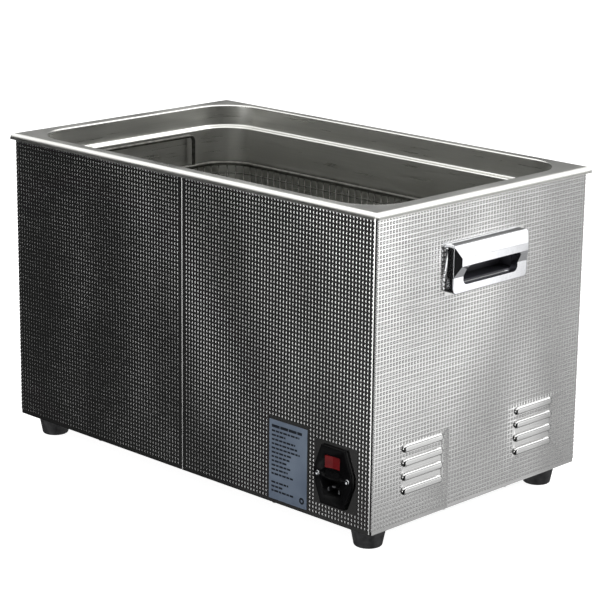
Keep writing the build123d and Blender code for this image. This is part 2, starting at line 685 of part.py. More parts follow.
def fuse_drawer():
    z = Z0 + INLET_Z + DRAWER_UP - DRAWER_H / 2
    drawer = block(DRAWER_W, DRAWER_D, DRAWER_H, INLET_X, INLET_FACE - DRAWER_D / 2, z)
    for side in (-1, 1):
        drawer -= block(2 * FUSE_R + 0.4, FUSE_L + 0.4, DRAWER_H, INLET_X + side * FUSE_X,
                        INLET_FACE - DRAWER_D / 2 - 0.4, z + 1.2)
    return drawer - block(DRAWER_W / 3, 1.6, 1.6, INLET_X, INLET_FACE, z + DRAWER_H - 1.6)


def fuses():
    z = Z0 + INLET_Z + DRAWER_UP - DRAWER_H / 2 + 1.2 + FUSE_R
    for side in (-1, 1):
        start = (INLET_X + side * FUSE_X, INLET_FACE - DRAWER_D / 2 - 0.4 - FUSE_L / 2, z)
        yield rod(FUSE_R, FUSE_L, start, ALONG_Y)


def inlet_screws():
    for x, z in inlet_screw_places():
        yield pan_screw((x, INLET_FACE - 1.2, z), BACKWARD_Y, 10)


def rating_label():
    return block(LABEL_W, LABEL_T, LABEL_H, LABEL_X, BACK_Y + LABEL_T / 2, Z0 + LABEL_LOW)


# ---- control panel ----
def window_places():
    for side in (-1, 1):
        yield side * WINDOW_X, Z0 + PANEL_Z + WINDOW_UP


def button_places():
    """Time down and up, start, heat, temperature down and up, from left to right."""
    z = Z0 + PANEL_Z - BUTTON_DOWN
    for column in (-WINDOW_X, 0, WINDOW_X):
        for side in (-1, 1):
            yield column + side * BUTTON_SPREAD, z


def board_post_places():
    for sx in (-1, 1):
        for sz in (-1, 1):
            yield sx * (CONTROL_BOARD_W / 2 - 4), Z0 + PANEL_Z + sz * (CONTROL_BOARD_H / 2 - 5)


def control_panel():
    """Moulded fascia over the casing's cut-out, with a low frame round its edge."""
    panel = wall_plate(PANEL_W, PANEL_H, 6, PANEL_T, 0, PANEL_FACE, Z0 + PANEL_Z)
    panel = fillet([e for e in panel.edges() if e.center().Y < PANEL_FACE + 0.01], 1.0)
    panel -= wall_plate(PANEL_W - 24, PANEL_H - 8, 4, 0.8, 0, PANEL_FACE, Z0 + PANEL_Z)
    for x, z in window_places():
        panel -= wall_plate(WINDOW_W + 2 * FIT, WINDOW_H + 2 * FIT, 1, 2 * PANEL_T, x, PANEL_FACE - 1, z)
    for x, z in button_places():
        panel -= rod(BUTTON_R + FIT, 2 * PANEL_T, (x, PANEL_FACE - 1, z), ALONG_Y)
    for x, z in panel_screw_places():
        panel -= rod(SCREW_R + FIT / 2, 2 * PANEL_T, (x, PANEL_FACE - 1, z), ALONG_Y)
    return panel


def display(x, z):
    face = PANEL_FACE + 1.0
    body = wall_plate(WINDOW_W, WINDOW_H, 0.8, DISPLAY_D, x, face, z)
    pins = FRONT_Y + POST_L - face - DISPLAY_D
    return body + wall_plate(WINDOW_W - 6, 6, 0.8, pins, x, face + DISPLAY_D, z)


def button(x, z):
    """A domed cap with the flange that keeps it in the panel and the stem that presses its switch."""
    cap = rod(BUTTON_R, FRONT_Y + 0.5 - BUTTON_FRONT, (x, BUTTON_FRONT, z), ALONG_Y)
    cap = fillet([e for e in cap.edges() if abs(e.center().Y - BUTTON_FRONT) < 0.01], 1.0)
    flange = rod(BUTTON_FLANGE_R, 1.0, (x, FRONT_Y + 0.1, z), ALONG_Y)
    return cap + flange + rod(2.5, 2.0, (x, FRONT_Y + 1.0, z), ALONG_Y)


def control_board():
    board = wall_plate(CONTROL_BOARD_W, CONTROL_BOARD_H, 2, BOARD_T, 0, FRONT_Y + POST_L, Z0 + PANEL_Z)
    for x, z in board_post_places():
        board -= rod(SCREW_R, 4 * BOARD_T, (x, FRONT_Y + POST_L - BOARD_T, z), ALONG_Y)
    return board


def tact_switches():
    front = FRONT_Y + 3.0 + BUTTON_STROKE + 0.2
    back = FRONT_Y + POST_L
    for x, z in button_places():
        yield wall_plate(6, 6, 0.5, 3.5, x, back - 3.5, z) + rod(1.7, back - 3.5 - front, (x, front, z), ALONG_Y)


def generator_post_places():
    for sx in (-1, 1):
        for sy in (-1, 1):
            yield GEN_X + sx * (GEN_L / 2 - 6), sy * (GEN_W / 2 - 6)


def board_posts():
    for x, z in board_post_places():
        yield rod(POST_R, POST_L, (x, FRONT_Y, z), ALONG_Y)
    for x, y in generator_post_places():
        yield rod(POST_R, POST_L, (x, y, DECK))


def panel_screws():
    for x, z in panel_screw_places():
        yield pan_screw((x, PANEL_FACE, z), ALONG_Y, PANEL_T + 4)


# ---- transducers, heaters, generator ----
def transducer_places():
    for i in range(TRANSDUCERS_X):
        for side in (-1, 1):
            yield (i - (TRANSDUCERS_X - 1) / 2) * TRANSDUCER_PITCH, side * TRANSDUCER_Y


def horn(x, y):
    """Aluminium front mass, widest where it is bonded to the tank's floor."""
    cone = Pos(x, y, TANK_UNDER - HORN_H) * Cone(STACK_R, HORN_TOP_R, HORN_H - 4,
                                                 align=(Align.CENTER, Align.CENTER, Align.MIN))
    return cone + rod(HORN_TOP_R, 4, (x, y, TANK_UNDER - 4))


def ceramic(x, y):
    z = TANK_UNDER - HORN_H - 2 * CERAMIC_T
    ring = rod(STACK_R, 2 * CERAMIC_T, (x, y, z)) - rod(CERAMIC_BORE, 2 * CERAMIC_T, (x, y, z))
    groove = rod(STACK_R + 1, 0.4, (x, y, z + CERAMIC_T - 0.2)) - rod(STACK_R - 0.6, 0.4, (x, y, z + CERAMIC_T - 0.2))
    return ring - groove


def back_mass(x, y):
    z = TANK_UNDER - HORN_H - 2 * CERAMIC_T - BACK_H
    return rod(STACK_R, BACK_H, (x, y, z)) - rod(BOLT_R + FIT, BACK_H, (x, y, z))


def stack_bolt(x, y):
    z = TANK_UNDER - HORN_H - 2 * CERAMIC_T - BACK_H
    head = rod(1.6 * BOLT_R, BOLT_HEAD, (x, y, z - BOLT_HEAD))
    head -= extrude(Plane((x, y, z - BOLT_HEAD)) * RegularPolygon(0.75 * BOLT_R, 6), BOLT_HEAD / 2)
    return head + rod(BOLT_R, BACK_H + 2 * CERAMIC_T, (x, y, z))


def heater_pads():
    for side in (-1, 1):
        yield block(HEATER_L, HEATER_T, HEATER_H, 0, side * (TANK_W / 2 + TANK_T + HEATER_T / 2),
                    TANK_FLOOR + HEATER_UP)


def thermostat():
    start = (-(TANK_L / 2 + TANK_T), 0, TANK_FLOOR + HEATER_UP)
    return rod(THERMOSTAT_R, THERMOSTAT_T / 2, start, BACKWARD_X) + rod(
        THERMOSTAT_R * 0.7, THERMOSTAT_T, start, BACKWARD_X)


def generator_board():
    board = block(GEN_L, GEN_W, BOARD_T, GEN_X, 0, DECK + POST_L)
    for x, y in generator_post_places():
        board -= rod(SCREW_R, 4 * BOARD_T, (x, y, DECK + POST_L - BOARD_T))
    return board


def heat_sink():
    x = GEN_X - GEN_L / 2 + 0.75 * SINK_W
    sink = block(SINK_W, SINK_L, SINK_BASE, x, 0, BOARD_TOP)
    pitch = (SINK_W - SINK_FIN) / (SINK_FINS - 1)
    for i in range(SINK_FINS):
        sink += block(SINK_FIN, SINK_L, SINK_H, x + (i - (SINK_FINS - 1) / 2) * pitch, 0, BOARD_TOP + SINK_BASE)
    return sink


def transformer():
    """Two ferrite E cores with the winding round the middle leg."""
    x = GEN_X + CORE_X
    core = block(CORE_L, CORE_W, CORE_H, x, 0, BOARD_TOP)
    return core + block(COIL_SIZE, COIL_SIZE, COIL_H, x, 0, BOARD_TOP + (CORE_H - COIL_H) / 2)


def capacitors():
    for i in range(CAPACITORS):
        offset = (i - (CAPACITORS - 1) / 2) * CAPACITOR_PITCH
        yield rod(CAPACITOR_R, CAPACITOR_H, (GEN_X + GEN_L / 2 - CAPACITOR_IN, offset, BOARD_TOP))


def fan_frame():
    frame = block(FAN_SIZE, FAN_SIZE, FAN_T, FAN_X, 0, DECK)
    frame = fillet(frame.edges().filter_by(Axis.Z), 4)
    frame -= rod(FAN_BORE_R, FAN_T, (FAN_X, 0, DECK))
    frame += rod(FAN_HUB_R, 2, (FAN_X, 0, DECK))
    for turn in (45, 135):
        frame += Pos(FAN_X, 0, DECK) * Rot(0, 0, turn) * Box(2 * FAN_BORE_R + 2, 4, 2, align=(
            Align.CENTER, Align.CENTER, Align.MIN))
    return frame - rod(2.5, 2, (FAN_X, 0, DECK))


def fan_rotor():
    """Hub, shaft and a ring of pitched blades."""
    low = DECK + 3
    rotor = rod(FAN_HUB_R, FAN_T - 5, (FAN_X, 0, low)) + rod(2.45, 2, (FAN_X, 0, low - 2))
    reach = FAN_BORE_R - 1.0 - FAN_HUB_R
    for i in range(FAN_BLADES):
        blade = Pos(FAN_HUB_R + reach / 2 - 0.5, 0, 0) * Rot(35, 0, 0) * Box(reach, 20, 1.6)
        rotor += Pos(FAN_X, 0, low + (FAN_T - 5) / 2) * Rot(0, 0, i * 360 / FAN_BLADES) * blade
    return rotor & rod(FAN_BORE_R - 0.8, FAN_T, (FAN_X, 0, DECK))


# ---- drain ----
def drain_fitting():
    """Flanged bush through the tank's floor."""
    bush = rod(FITTING_FLANGE_R, 2, (DRAIN_X, 0, TANK_FLOOR))
    bush = fillet(edges_at(bush, TANK_FLOOR + 2), 1.0)
    bush += rod(FITTING_R, FITTING_DOWN, (DRAIN_X, 0, TANK_FLOOR - FITTING_DOWN))
    return bush - rod(DRAIN_BORE_R, FITTING_DOWN + 4, (DRAIN_X, 0, TANK_FLOOR - FITTING_DOWN - 1))


def drain_nut():
    z = TANK_UNDER - NUT_T
    nut = extrude(Plane((DRAIN_X, 0, z)) * RegularPolygon(NUT_AF / 2, 6, major_radius=False), NUT_T)
    return nut - rod(FITTING_R + 0.05, NUT_T, (DRAIN_X, 0, z))


def drain_pipe():
    """Tube down from the tank, round one bend and out through the end of the casing."""
    top = TANK_FLOOR - FITTING_DOWN
    path = FilletPolyline((DRAIN_X, 0, top), (DRAIN_X, 0, PIPE_Z), (VALVE_X0, 0, PIPE_Z), radius=PIPE_BEND)
    end = Plane((DRAIN_X, 0, top), z_dir=(0, 0, -1))
    return sweep(end * Circle(PIPE_R), path) - sweep(end * Circle(DRAIN_BORE_R), path)


def valve_body():
    """Ball valve body with the boss that its stem turns in."""
    body = rod(VALVE_R, VALVE_L, (VALVE_X0, 0, PIPE_Z), ALONG_X)
    body = fillet([e for e in body.edges() if e.geom_type == GeomType.CIRCLE], 1.5)
    body += rod(BOSS_R, BOSS_H, (VALVE_XC, 0, PIPE_Z))
    body -= rod(DRAIN_BORE_R, VALVE_L + 2, (VALVE_X0 - 1, 0, PIPE_Z), ALONG_X)
    body -= Pos(VALVE_XC, 0, PIPE_Z) * Sphere(BALL_R + BALL_GAP)
    return body - rod(STEM_R + STEM_GAP, BOSS_H + 2, (VALVE_XC, 0, PIPE_Z))


def valve_ball():
    """The ball at rest is shut: its bore lies across the pipe. The stem's foot sits in its slot."""
    ball = Pos(VALVE_XC, 0, PIPE_Z) * Sphere(BALL_R)
    ball -= rod(BALL_BORE_R, 4 * BALL_R, (VALVE_XC, -2 * BALL_R, PIPE_Z), ALONG_Y)
    return ball - rod(STEM_R, BALL_R, (VALVE_XC, 0, PIPE_Z + BALL_R - 2))


def valve_stem():
    base = PIPE_Z + BALL_R - 2
    stem_top = PIPE_Z + BOSS_H + 1 + LEVER_T + 3
    stem = rod(STEM_R, stem_top - base, (VALVE_XC, 0, base))
    nut = extrude(Plane((VALVE_XC, 0, PIPE_Z + BOSS_H + 1 + LEVER_T)) * RegularPolygon(5.5, 6), 4)
    return stem + nut


def valve_lever():
    """Flat handle that lies across the pipe when the valve is shut, with a dipped grip."""
    z = PIPE_Z + BOSS_H + 1
    flat = SlotOverall(LEVER_L, LEVER_W)
    lever = extrude(Plane((VALVE_XC, -LEVER_L / 2 + LEVER_W / 2, z), x_dir=(0, 1, 0), z_dir=(0, 0, 1)) * flat, LEVER_T)
    grip_l = LEVER_L * 0.6
    grip = Plane((VALVE_XC, LEVER_W / 2 - LEVER_L + grip_l / 2 - 1, z - 1), x_dir=(0, 1, 0), z_dir=(0, 0, 1))
    sleeve = extrude(grip * SlotOverall(grip_l, LEVER_W + 2), LEVER_T + 2)
    sleeve = fillet(edges_at(sleeve, z - 1) + edges_at(sleeve, z + LEVER_T + 1), 1.5)
    return lever + sleeve - rod(STEM_R, 3 * LEVER_T, (VALVE_XC, 0, z - LEVER_T))


def hose_tail():
    """Union nut and plain spigot for the drain hose."""
    end = Plane((VALVE_X1, 0, PIPE_Z), x_dir=(0, 1, 0), z_dir=(1, 0, 0))
    tail = extrude(end * RegularPolygon(TAIL_HEX_AF / 2, 6, major_radius=False), TAIL_HEX_T)
    tail += rod(TAIL_R, TAIL_HEX_T + TAIL_L, (VALVE_X1, 0, PIPE_Z), ALONG_X)
    return tail - rod(TAIL_R - 2, TAIL_HEX_T + TAIL_L + 2, (VALVE_X1 - 1, 0, PIPE_Z), ALONG_X)


# ---- basket ----
def basket_rim():
    """One round wire bent into the basket's outline."""
    outline = Pos(0, 0, RIM_Z) * RectangleRounded(BASKET_L, BASKET_W, BASKET_CORNER)
    path = outline.wire()
    section = Plane(origin=path @ 0, z_dir=path % 0) * Circle(BASKET_RIM_R)
    return sweep(section, path)


def basket_bails():
    """A bent wire handle at each end, standing on the rim."""
    low = RIM_Z + BASKET_RIM_R
    high = RIM_Z + BAIL_UP
    for end in (-1, 1):
        x = end * BASKET_L / 2
        half = BAIL_W / 2
        path = FilletPolyline((x, -half, low), (x, -half, high), (x, half, high), (x, half, low), radius=BAIL_BEND)
        yield sweep(Plane((x, -half, low)) * Circle(BAIL_R), path)


def basket_feet():
    base = TANK_FLOOR + FIT
    for sx in (-1, 1):
        for sy in (-1, 1):
            foot_rod = rod(BASKET_FOOT_R, MESH_LOW - base, (sx * BASKET_FOOT_X, sy * BASKET_FOOT_Y, base))
            yield fillet(edges_at(foot_rod, base), 1.5)


def basket_mesh():
    """Floor and upright panels as thin sheets where the woven wire runs; corners are short arcs of sheet."""
    half_t = BASKET_MESH_T / 2
    yield slab(BASKET_L + BASKET_MESH_T, BASKET_W + BASKET_MESH_T, BASKET_CORNER + half_t, MESH_LOW,
               MESH_LOW + BASKET_MESH_T)
    low = MESH_LOW + BASKET_MESH_T
    tall = RIM_Z - BASKET_RIM_R - low
    straight_l = BASKET_L - 2 * BASKET_CORNER
    straight_w = BASKET_W - 2 * BASKET_CORNER
    for side in (-1, 1):
        yield block(straight_l, BASKET_MESH_T, tall, 0, side * BASKET_W / 2, low)
        yield block(BASKET_MESH_T, straight_w, tall, side * BASKET_L / 2, 0, low)
    step = 90 / CORNER_PANELS
    for i in range(4):
        cx = straight_l / 2 * (1 if i in (0, 3) else -1)
        cy = straight_w / 2 * (1 if i in (0, 1) else -1)
        for j in range(CORNER_PANELS):
            start = 90 * i + step * j
            inner, outer = BASKET_CORNER - half_t, BASKET_CORNER + half_t
            ends = [(cos(radians(a)), sin(radians(a))) for a in (start, start + step)]
            rim_edge = CenterArc((0, 0), outer, start, step)
            mesh_edge = CenterArc((0, 0), inner, start, step)
            sides = [Line((inner * c, inner * s), (outer * c, outer * s)) for c, s in ends]
            panel = make_face(Wire([rim_edge, sides[0], mesh_edge, sides[1]]))
            yield Pos(cx, cy, low) * extrude(panel, tall)


def main():
    os.makedirs("parts", exist_ok=True)
    export("casing_wrap", parted(casing_wrap(), wrap_rooms()))
    export("seam_strap", seam_strap())
    export("base_plate", base_plate())
    export("base_screws", group(pan_screw((x, y, Z0), (0, 0, 0), 6) for x, y in base_screw_places()))
    for name, (x, y) in zip(("left_front", "left_back", "right_front", "right_back"), foot_places()):
        export(f"foot_{name}", foot(x, y))
    export("foot_screws", group(foot_screw(x, y) for x, y in foot_places()))
    for name, turn in (("left", 180), ("right", 0)):
        export(f"pull_{name}", Rot(0, 0, turn) * pull())
        export(f"pull_pocket_{name}", Rot(0, 0, turn) * pull_pocket())
    export("pull_screws", group(pull_screws()))

    export("tank", parted(tank(), tank_cells()))
    export("tank_brackets", group(tank_brackets()))

    export("inlet_body", inlet_body())
    export("inlet_pins", group(inlet_pins()))
    export("rocker_switch", rocker_switch())
    export("fuse_drawer", fuse_drawer())
    export("fuses", group(fuses()))
    export("inlet_screws", group(inlet_screws()))
    export("rating_label", rating_label())

    export("control_panel", control_panel())
    for name, (x, z) in zip(("time", "heat"), window_places()):
        export(f"display_{name}", display(x, z))
    buttons = ("time_down", "time_up", "start", "warm", "heat_down", "heat_up")
    for name, (x, z) in zip(buttons, button_places()):
        export(f"button_{name}", button(x, z))
    export("control_board", control_board())
    export("tact_switches", group(tact_switches()))
    export("board_posts", group(board_posts()))
    export("panel_screws", group(panel_screws()))

    export("transducer_horns", group(horn(x, y) for x, y in transducer_places()))
    export("transducer_ceramics", group(ceramic(x, y) for x, y in transducer_places()))
    export("transducer_backs", group(back_mass(x, y) for x, y in transducer_places()))
    export("transducer_bolts", group(stack_bolt(x, y) for x, y in transducer_places()))
    export("heater_pads", group(heater_pads()))
    export("thermostat", thermostat())
    export("generator_board", generator_board())
    export("heat_sink", heat_sink())
    export("transformer", transformer())
    export("capacitors", group(capacitors()))
    export("fan_frame", fan_frame())
    export("fan_rotor", fan_rotor())

    export("drain_fitting", drain_fitting())
    export("drain_nut", drain_nut())
    export("drain_pipe", drain_pipe())
    export("valve_body", valve_body())
    export("valve_ball", valve_ball())
    export("valve_stem", valve_stem())
    export("valve_lever", valve_lever())
    export("hose_tail", hose_tail())

    export("basket_rim", basket_rim())
    export("basket_bails", group(basket_bails()))
    export("basket_feet", group(basket_feet()))
    export("basket_mesh", group(basket_mesh()))


main()
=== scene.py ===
"""Looks for a 30 litre ultrasonic cleaner: finishes, embossed casing, woven basket, labels, controls and studio.

Everything is in metres in the row frame: +Z up, control panel towards -Y, mains inlet towards +Y.
"""

import json
import logging
import math
from dataclasses import dataclass, field
from enum import Enum
from typing import Callable, Iterable, Sequence

import bmesh
import bpy
from bpy.types import Material, Mesh, Node, NodeSocket, NodeTree, Object
from mathutils import Euler, Matrix, Vector


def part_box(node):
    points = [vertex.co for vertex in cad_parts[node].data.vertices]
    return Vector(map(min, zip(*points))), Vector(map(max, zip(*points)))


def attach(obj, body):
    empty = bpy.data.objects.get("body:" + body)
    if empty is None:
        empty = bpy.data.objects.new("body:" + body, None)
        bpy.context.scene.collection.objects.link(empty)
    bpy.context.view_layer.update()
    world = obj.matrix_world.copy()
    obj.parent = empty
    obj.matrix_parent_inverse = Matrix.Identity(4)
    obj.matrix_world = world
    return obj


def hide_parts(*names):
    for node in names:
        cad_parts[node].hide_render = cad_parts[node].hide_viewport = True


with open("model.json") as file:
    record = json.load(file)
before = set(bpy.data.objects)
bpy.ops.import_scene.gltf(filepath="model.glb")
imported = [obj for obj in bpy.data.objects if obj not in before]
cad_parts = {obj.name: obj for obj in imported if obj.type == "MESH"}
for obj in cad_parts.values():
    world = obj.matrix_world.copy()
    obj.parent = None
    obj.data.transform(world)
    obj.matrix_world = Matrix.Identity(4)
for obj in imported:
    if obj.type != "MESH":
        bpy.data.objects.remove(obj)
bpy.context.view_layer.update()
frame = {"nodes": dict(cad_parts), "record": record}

MM = 0.001
MERGE = 1e-6  # corners nearer than this are made one
NOISE_RANGE = (0.3, 0.7)  # where nearly all of a noise's values lie
NOISE_ROUGHNESS = 0.55
SMOOTH_ANGLE = 32.0  # edges that turn by more than this, in degrees, stay sharp
BMesh = bmesh.types.BMesh
log = logging.getLogger("cleaner")


class Body(str, Enum):
    """The bodies that the added pieces ride on, apart from the keys."""

    CLEANER = "cleaner"
    BASKET = "basket"


# ------------------------------------------------------------------ nodes and meshes


def add_node(tree: NodeTree, kind: str, settings: dict | None = None, links: dict | None = None) -> Node:
    """Add one node to a tree.

    Args:
        tree: The tree that gets the node.
        kind: The node's type name.
        settings: Attributes to set on the node itself.
        links: Input name or index to a value, or to the output socket that feeds it.

    Returns:
        The new node.
    """
    node = tree.nodes.new(kind)
    for key, value in (settings or {}).items():
        setattr(node, key, value)
    for key, value in (links or {}).items():
        if isinstance(value, NodeSocket):
            tree.links.new(value, node.inputs[key])
        else:
            node.inputs[key].default_value = value
    return node


def math_node(tree: NodeTree, operation: str, *terms: float | NodeSocket) -> NodeSocket:
    """Combine one to three numbers or sockets with a Math node."""
    return add_node(tree, "ShaderNodeMath", {"operation": operation}, dict(enumerate(terms))).outputs[0]


def map_range(tree: NodeTree, value: NodeSocket, start: Sequence[float], end: Sequence[float] = (0.0, 1.0),
              kind: str = "LINEAR") -> NodeSocket:
    """Map a value from one range to another.

    Args:
        tree: The tree that gets the node.
        value: What is mapped.
        start: The range it comes from.
        end: The range it goes to.
        kind: How it runs between the ends.

    Returns:
        The mapped value.
    """
    links = {"Value": value, "From Min": start[0], "From Max": start[1], "To Min": end[0], "To Max": end[1]}
    return add_node(tree, "ShaderNodeMapRange", {"interpolation_type": kind}, links).outputs[0]


def linear(hex_colour: str) -> tuple[float, float, float, float]:
    """Turn an sRGB hex colour such as '#8a8d8f' into linear RGBA."""
    channels = [int(hex_colour[i : i + 2], 16) / 255 for i in (1, 3, 5)]
    red, green, blue = (c / 12.92 if c <= 0.04045 else ((c + 0.055) / 1.055) ** 2.4 for c in channels)
    return red, green, blue, 1.0


def new_object(name: str, mesh: Mesh) -> Object:
    """Link a mesh into the scene as an object at the origin."""
    piece = bpy.data.objects.new(name, mesh)
    bpy.context.scene.collection.objects.link(piece)
    return piece


def settle(piece: Object, body: str, slot: str, *replaced: str) -> Object:
    """Hand a finished piece to the frame.

    Args:
        piece: The finished object.
        body: The body it rides on.
        slot: The material slot it is logged under.
        replaced: The CAD nodes that it stands for.

    Returns:
        The same object.
    """
    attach(piece, str(body.value if isinstance(body, Enum) else body))
    if replaced:
        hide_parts(*replaced)
    triangles = sum(len(p.vertices) - 2 for p in piece.data.polygons)
    log.info("%-24s body %-10s slot %-16s %7d triangles", piece.name, body, slot, triangles)
    return piece


class GeometryTree:
    """A Geometry Nodes group with named inputs that ends in Realize Instances and Set Material."""

    def __init__(self, name: str) -> None:
        """Start an empty group called name."""
        self.tree = bpy.data.node_groups.new(name, "GeometryNodeTree")
        self.tree.interface.new_socket("Geometry", in_out="OUTPUT", socket_type="NodeSocketGeometry")
        self.entry = self.tree.nodes.new("NodeGroupInput")
        self.values: dict[str, object] = {}

    def number(self, name: str, value: float | int | Sequence[float]) -> NodeSocket:
        """Add a named input and return the socket that carries it."""
        kinds = {int: "NodeSocketInt", float: "NodeSocketFloat"}
        kind = kinds.get(type(value), "NodeSocketVector")
        socket = self.tree.interface.new_socket(name, in_out="INPUT", socket_type=kind)
        self.values[socket.identifier] = value
        return self.entry.outputs[name]

    def add(self, kind: str, settings: dict | None = None, links: dict | None = None) -> Node:
        """Add a node to this group."""
        return add_node(self.tree, kind, settings, links)

    def math(self, operation: str, *terms: float | NodeSocket) -> NodeSocket:
        """Combine one to three numbers or sockets with a Math node."""
        return math_node(self.tree, operation, *terms)

    def along(self, axis: int, length: NodeSocket) -> NodeSocket:
        """A vector of a length along one axis."""
        return self.add("ShaderNodeCombineXYZ", None, {axis: length}).outputs[0]

    def split(self, vector: NodeSocket) -> Sequence[NodeSocket]:
        """The three parts of a vector."""
        return self.add("ShaderNodeSeparateXYZ", None, {0: vector}).outputs

    def finish(self, geometry: NodeSocket, material: Material) -> None:
        """Close the tree: realise, set the material and send it out."""
        real = self.add("GeometryNodeRealizeInstances", None, {"Geometry": geometry})
        dressed = self.add("GeometryNodeSetMaterial", None, {"Geometry": real.outputs[0], "Material": material})
        self.add("NodeGroupOutput", None, {0: dressed.outputs[0]})

    def make(self, name: str, material: Material, place: Matrix | None = None) -> Object:
        """Evaluate the tree once and keep its result as a plain mesh.

        Args:
            name: The object's name.
            material: The finish of the result.
            place: Moves the mesh from the tree's own space to the row frame.

        Returns:
            An object at the origin, with no modifier.
        """
        maker = new_object(name, bpy.data.meshes.new(name))
        modifier = maker.modifiers.new("grow", "NODES")
        modifier.node_group = self.tree
        for identifier, value in self.values.items():
            modifier[identifier] = value
        evaluated = maker.evaluated_get(bpy.context.evaluated_depsgraph_get())
        mesh = bpy.data.meshes.new_from_object(evaluated)
        maker.modifiers.remove(modifier)
        maker.data = mesh
        mesh.name = name
        if not mesh.materials:
            mesh.materials.append(material)
        if place is not None:
            mesh.transform(place)
        return maker


def smoothed(piece: Object, angle: float = SMOOTH_ANGLE) -> Object:
    """Shade a piece smooth, with its flats kept flat by weighting each normal by face area.

    Args:
        piece: The object, changed in place.
        angle: Edges that turn by more than this, in degrees, stay sharp.

    Returns:
        The same object.
    """
    piece.data.shade_smooth()
    piece.data.set_sharp_from_angle(angle=math.radians(angle))
    level = piece.modifiers.new("level_flats", "WEIGHTED_NORMAL")
    level.keep_sharp = True
    evaluated = piece.evaluated_get(bpy.context.evaluated_depsgraph_get())
    levelled = bpy.data.meshes.new_from_object(evaluated)
    piece.modifiers.remove(level)
    piece.data = levelled
    return piece


def refined(node: str, body: str, slot: str, material: Material,
            angle: float = SMOOTH_ANGLE) -> Object:
    """Stand a merged, smooth-shaded copy in place of a CAD node, so that its curves show as curves.

    Args:
        node: The CAD node.
        body: The body it rides on.
        slot: Its material slot.
        material: Its finish.
        angle: Edges that turn by more than this, in degrees, stay sharp.

    Returns:
        The new object.
    """
    mesh = frame["nodes"][node].data.copy()
    mesh.name = f"{node}_shell"
    work = bmesh.new()
    work.from_mesh(mesh)
    bmesh.ops.remove_doubles(work, verts=work.verts, dist=MERGE)
    work.to_mesh(mesh)
    work.free()
    mesh.materials.clear()
    mesh.materials.append(material)
    return settle(smoothed(new_object(f"{node}_shell", mesh), angle), body, slot, node)


def prism(work: BMesh, outline: Sequence[tuple[float, float]], low: float, high: float) -> None:
    """Add a closed straight prism.

    Args:
        work: The bmesh that gets it.
        outline: Its anticlockwise outline.
        low: The height of its base.
        high: The height of its cap.
    """
    base = [work.verts.new((x, y, low)) for x, y in outline]
    cap = [work.verts.new((x, y, high)) for x, y in outline]
    work.faces.new(list(reversed(base)))
    work.faces.new(cap)
    for i in range(len(base)):
        j = (i + 1) % len(base)
        work.faces.new((base[i], base[j], cap[j], cap[i]))


def carved(name: str, draw: Callable[[BMesh], None], place: Matrix, material: Material) -> Object:
    """Make an object from mesh code.

    Args:
        name: The object's name.
        draw: Adds the shape to an empty bmesh, in its own flat space.
        place: Moves that space into the row frame.
        material: The finish.

    Returns:
        The new object.
    """
    work = bmesh.new()
    draw(work)
    bmesh.ops.recalc_face_normals(work, faces=work.faces)
    mesh = bpy.data.meshes.new(name)
    work.to_mesh(mesh)
    work.free()
    mesh.transform(place)
    mesh.materials.append(material)
    return new_object(name, mesh)


def wall_frame(origin: Sequence[float], across: Sequence[float], out: Sequence[float]) -> Matrix:
    """Set a flat space on a wall.

    Args:
        origin: The space's origin.
        across: The direction of its X, across the wall.
        out: The direction of its Z, out of the wall.

    Returns:
        The matrix from that space to the row frame.
    """
    x_axis, z_axis = Vector(across), Vector(out)
    y_axis = z_axis.cross(x_axis)
    rotation = Matrix((x_axis, y_axis, z_axis)).transposed().to_4x4()
    return Matrix.Translation(Vector(origin)) @ rotation


# ------------------------------------------------------------------ finishes


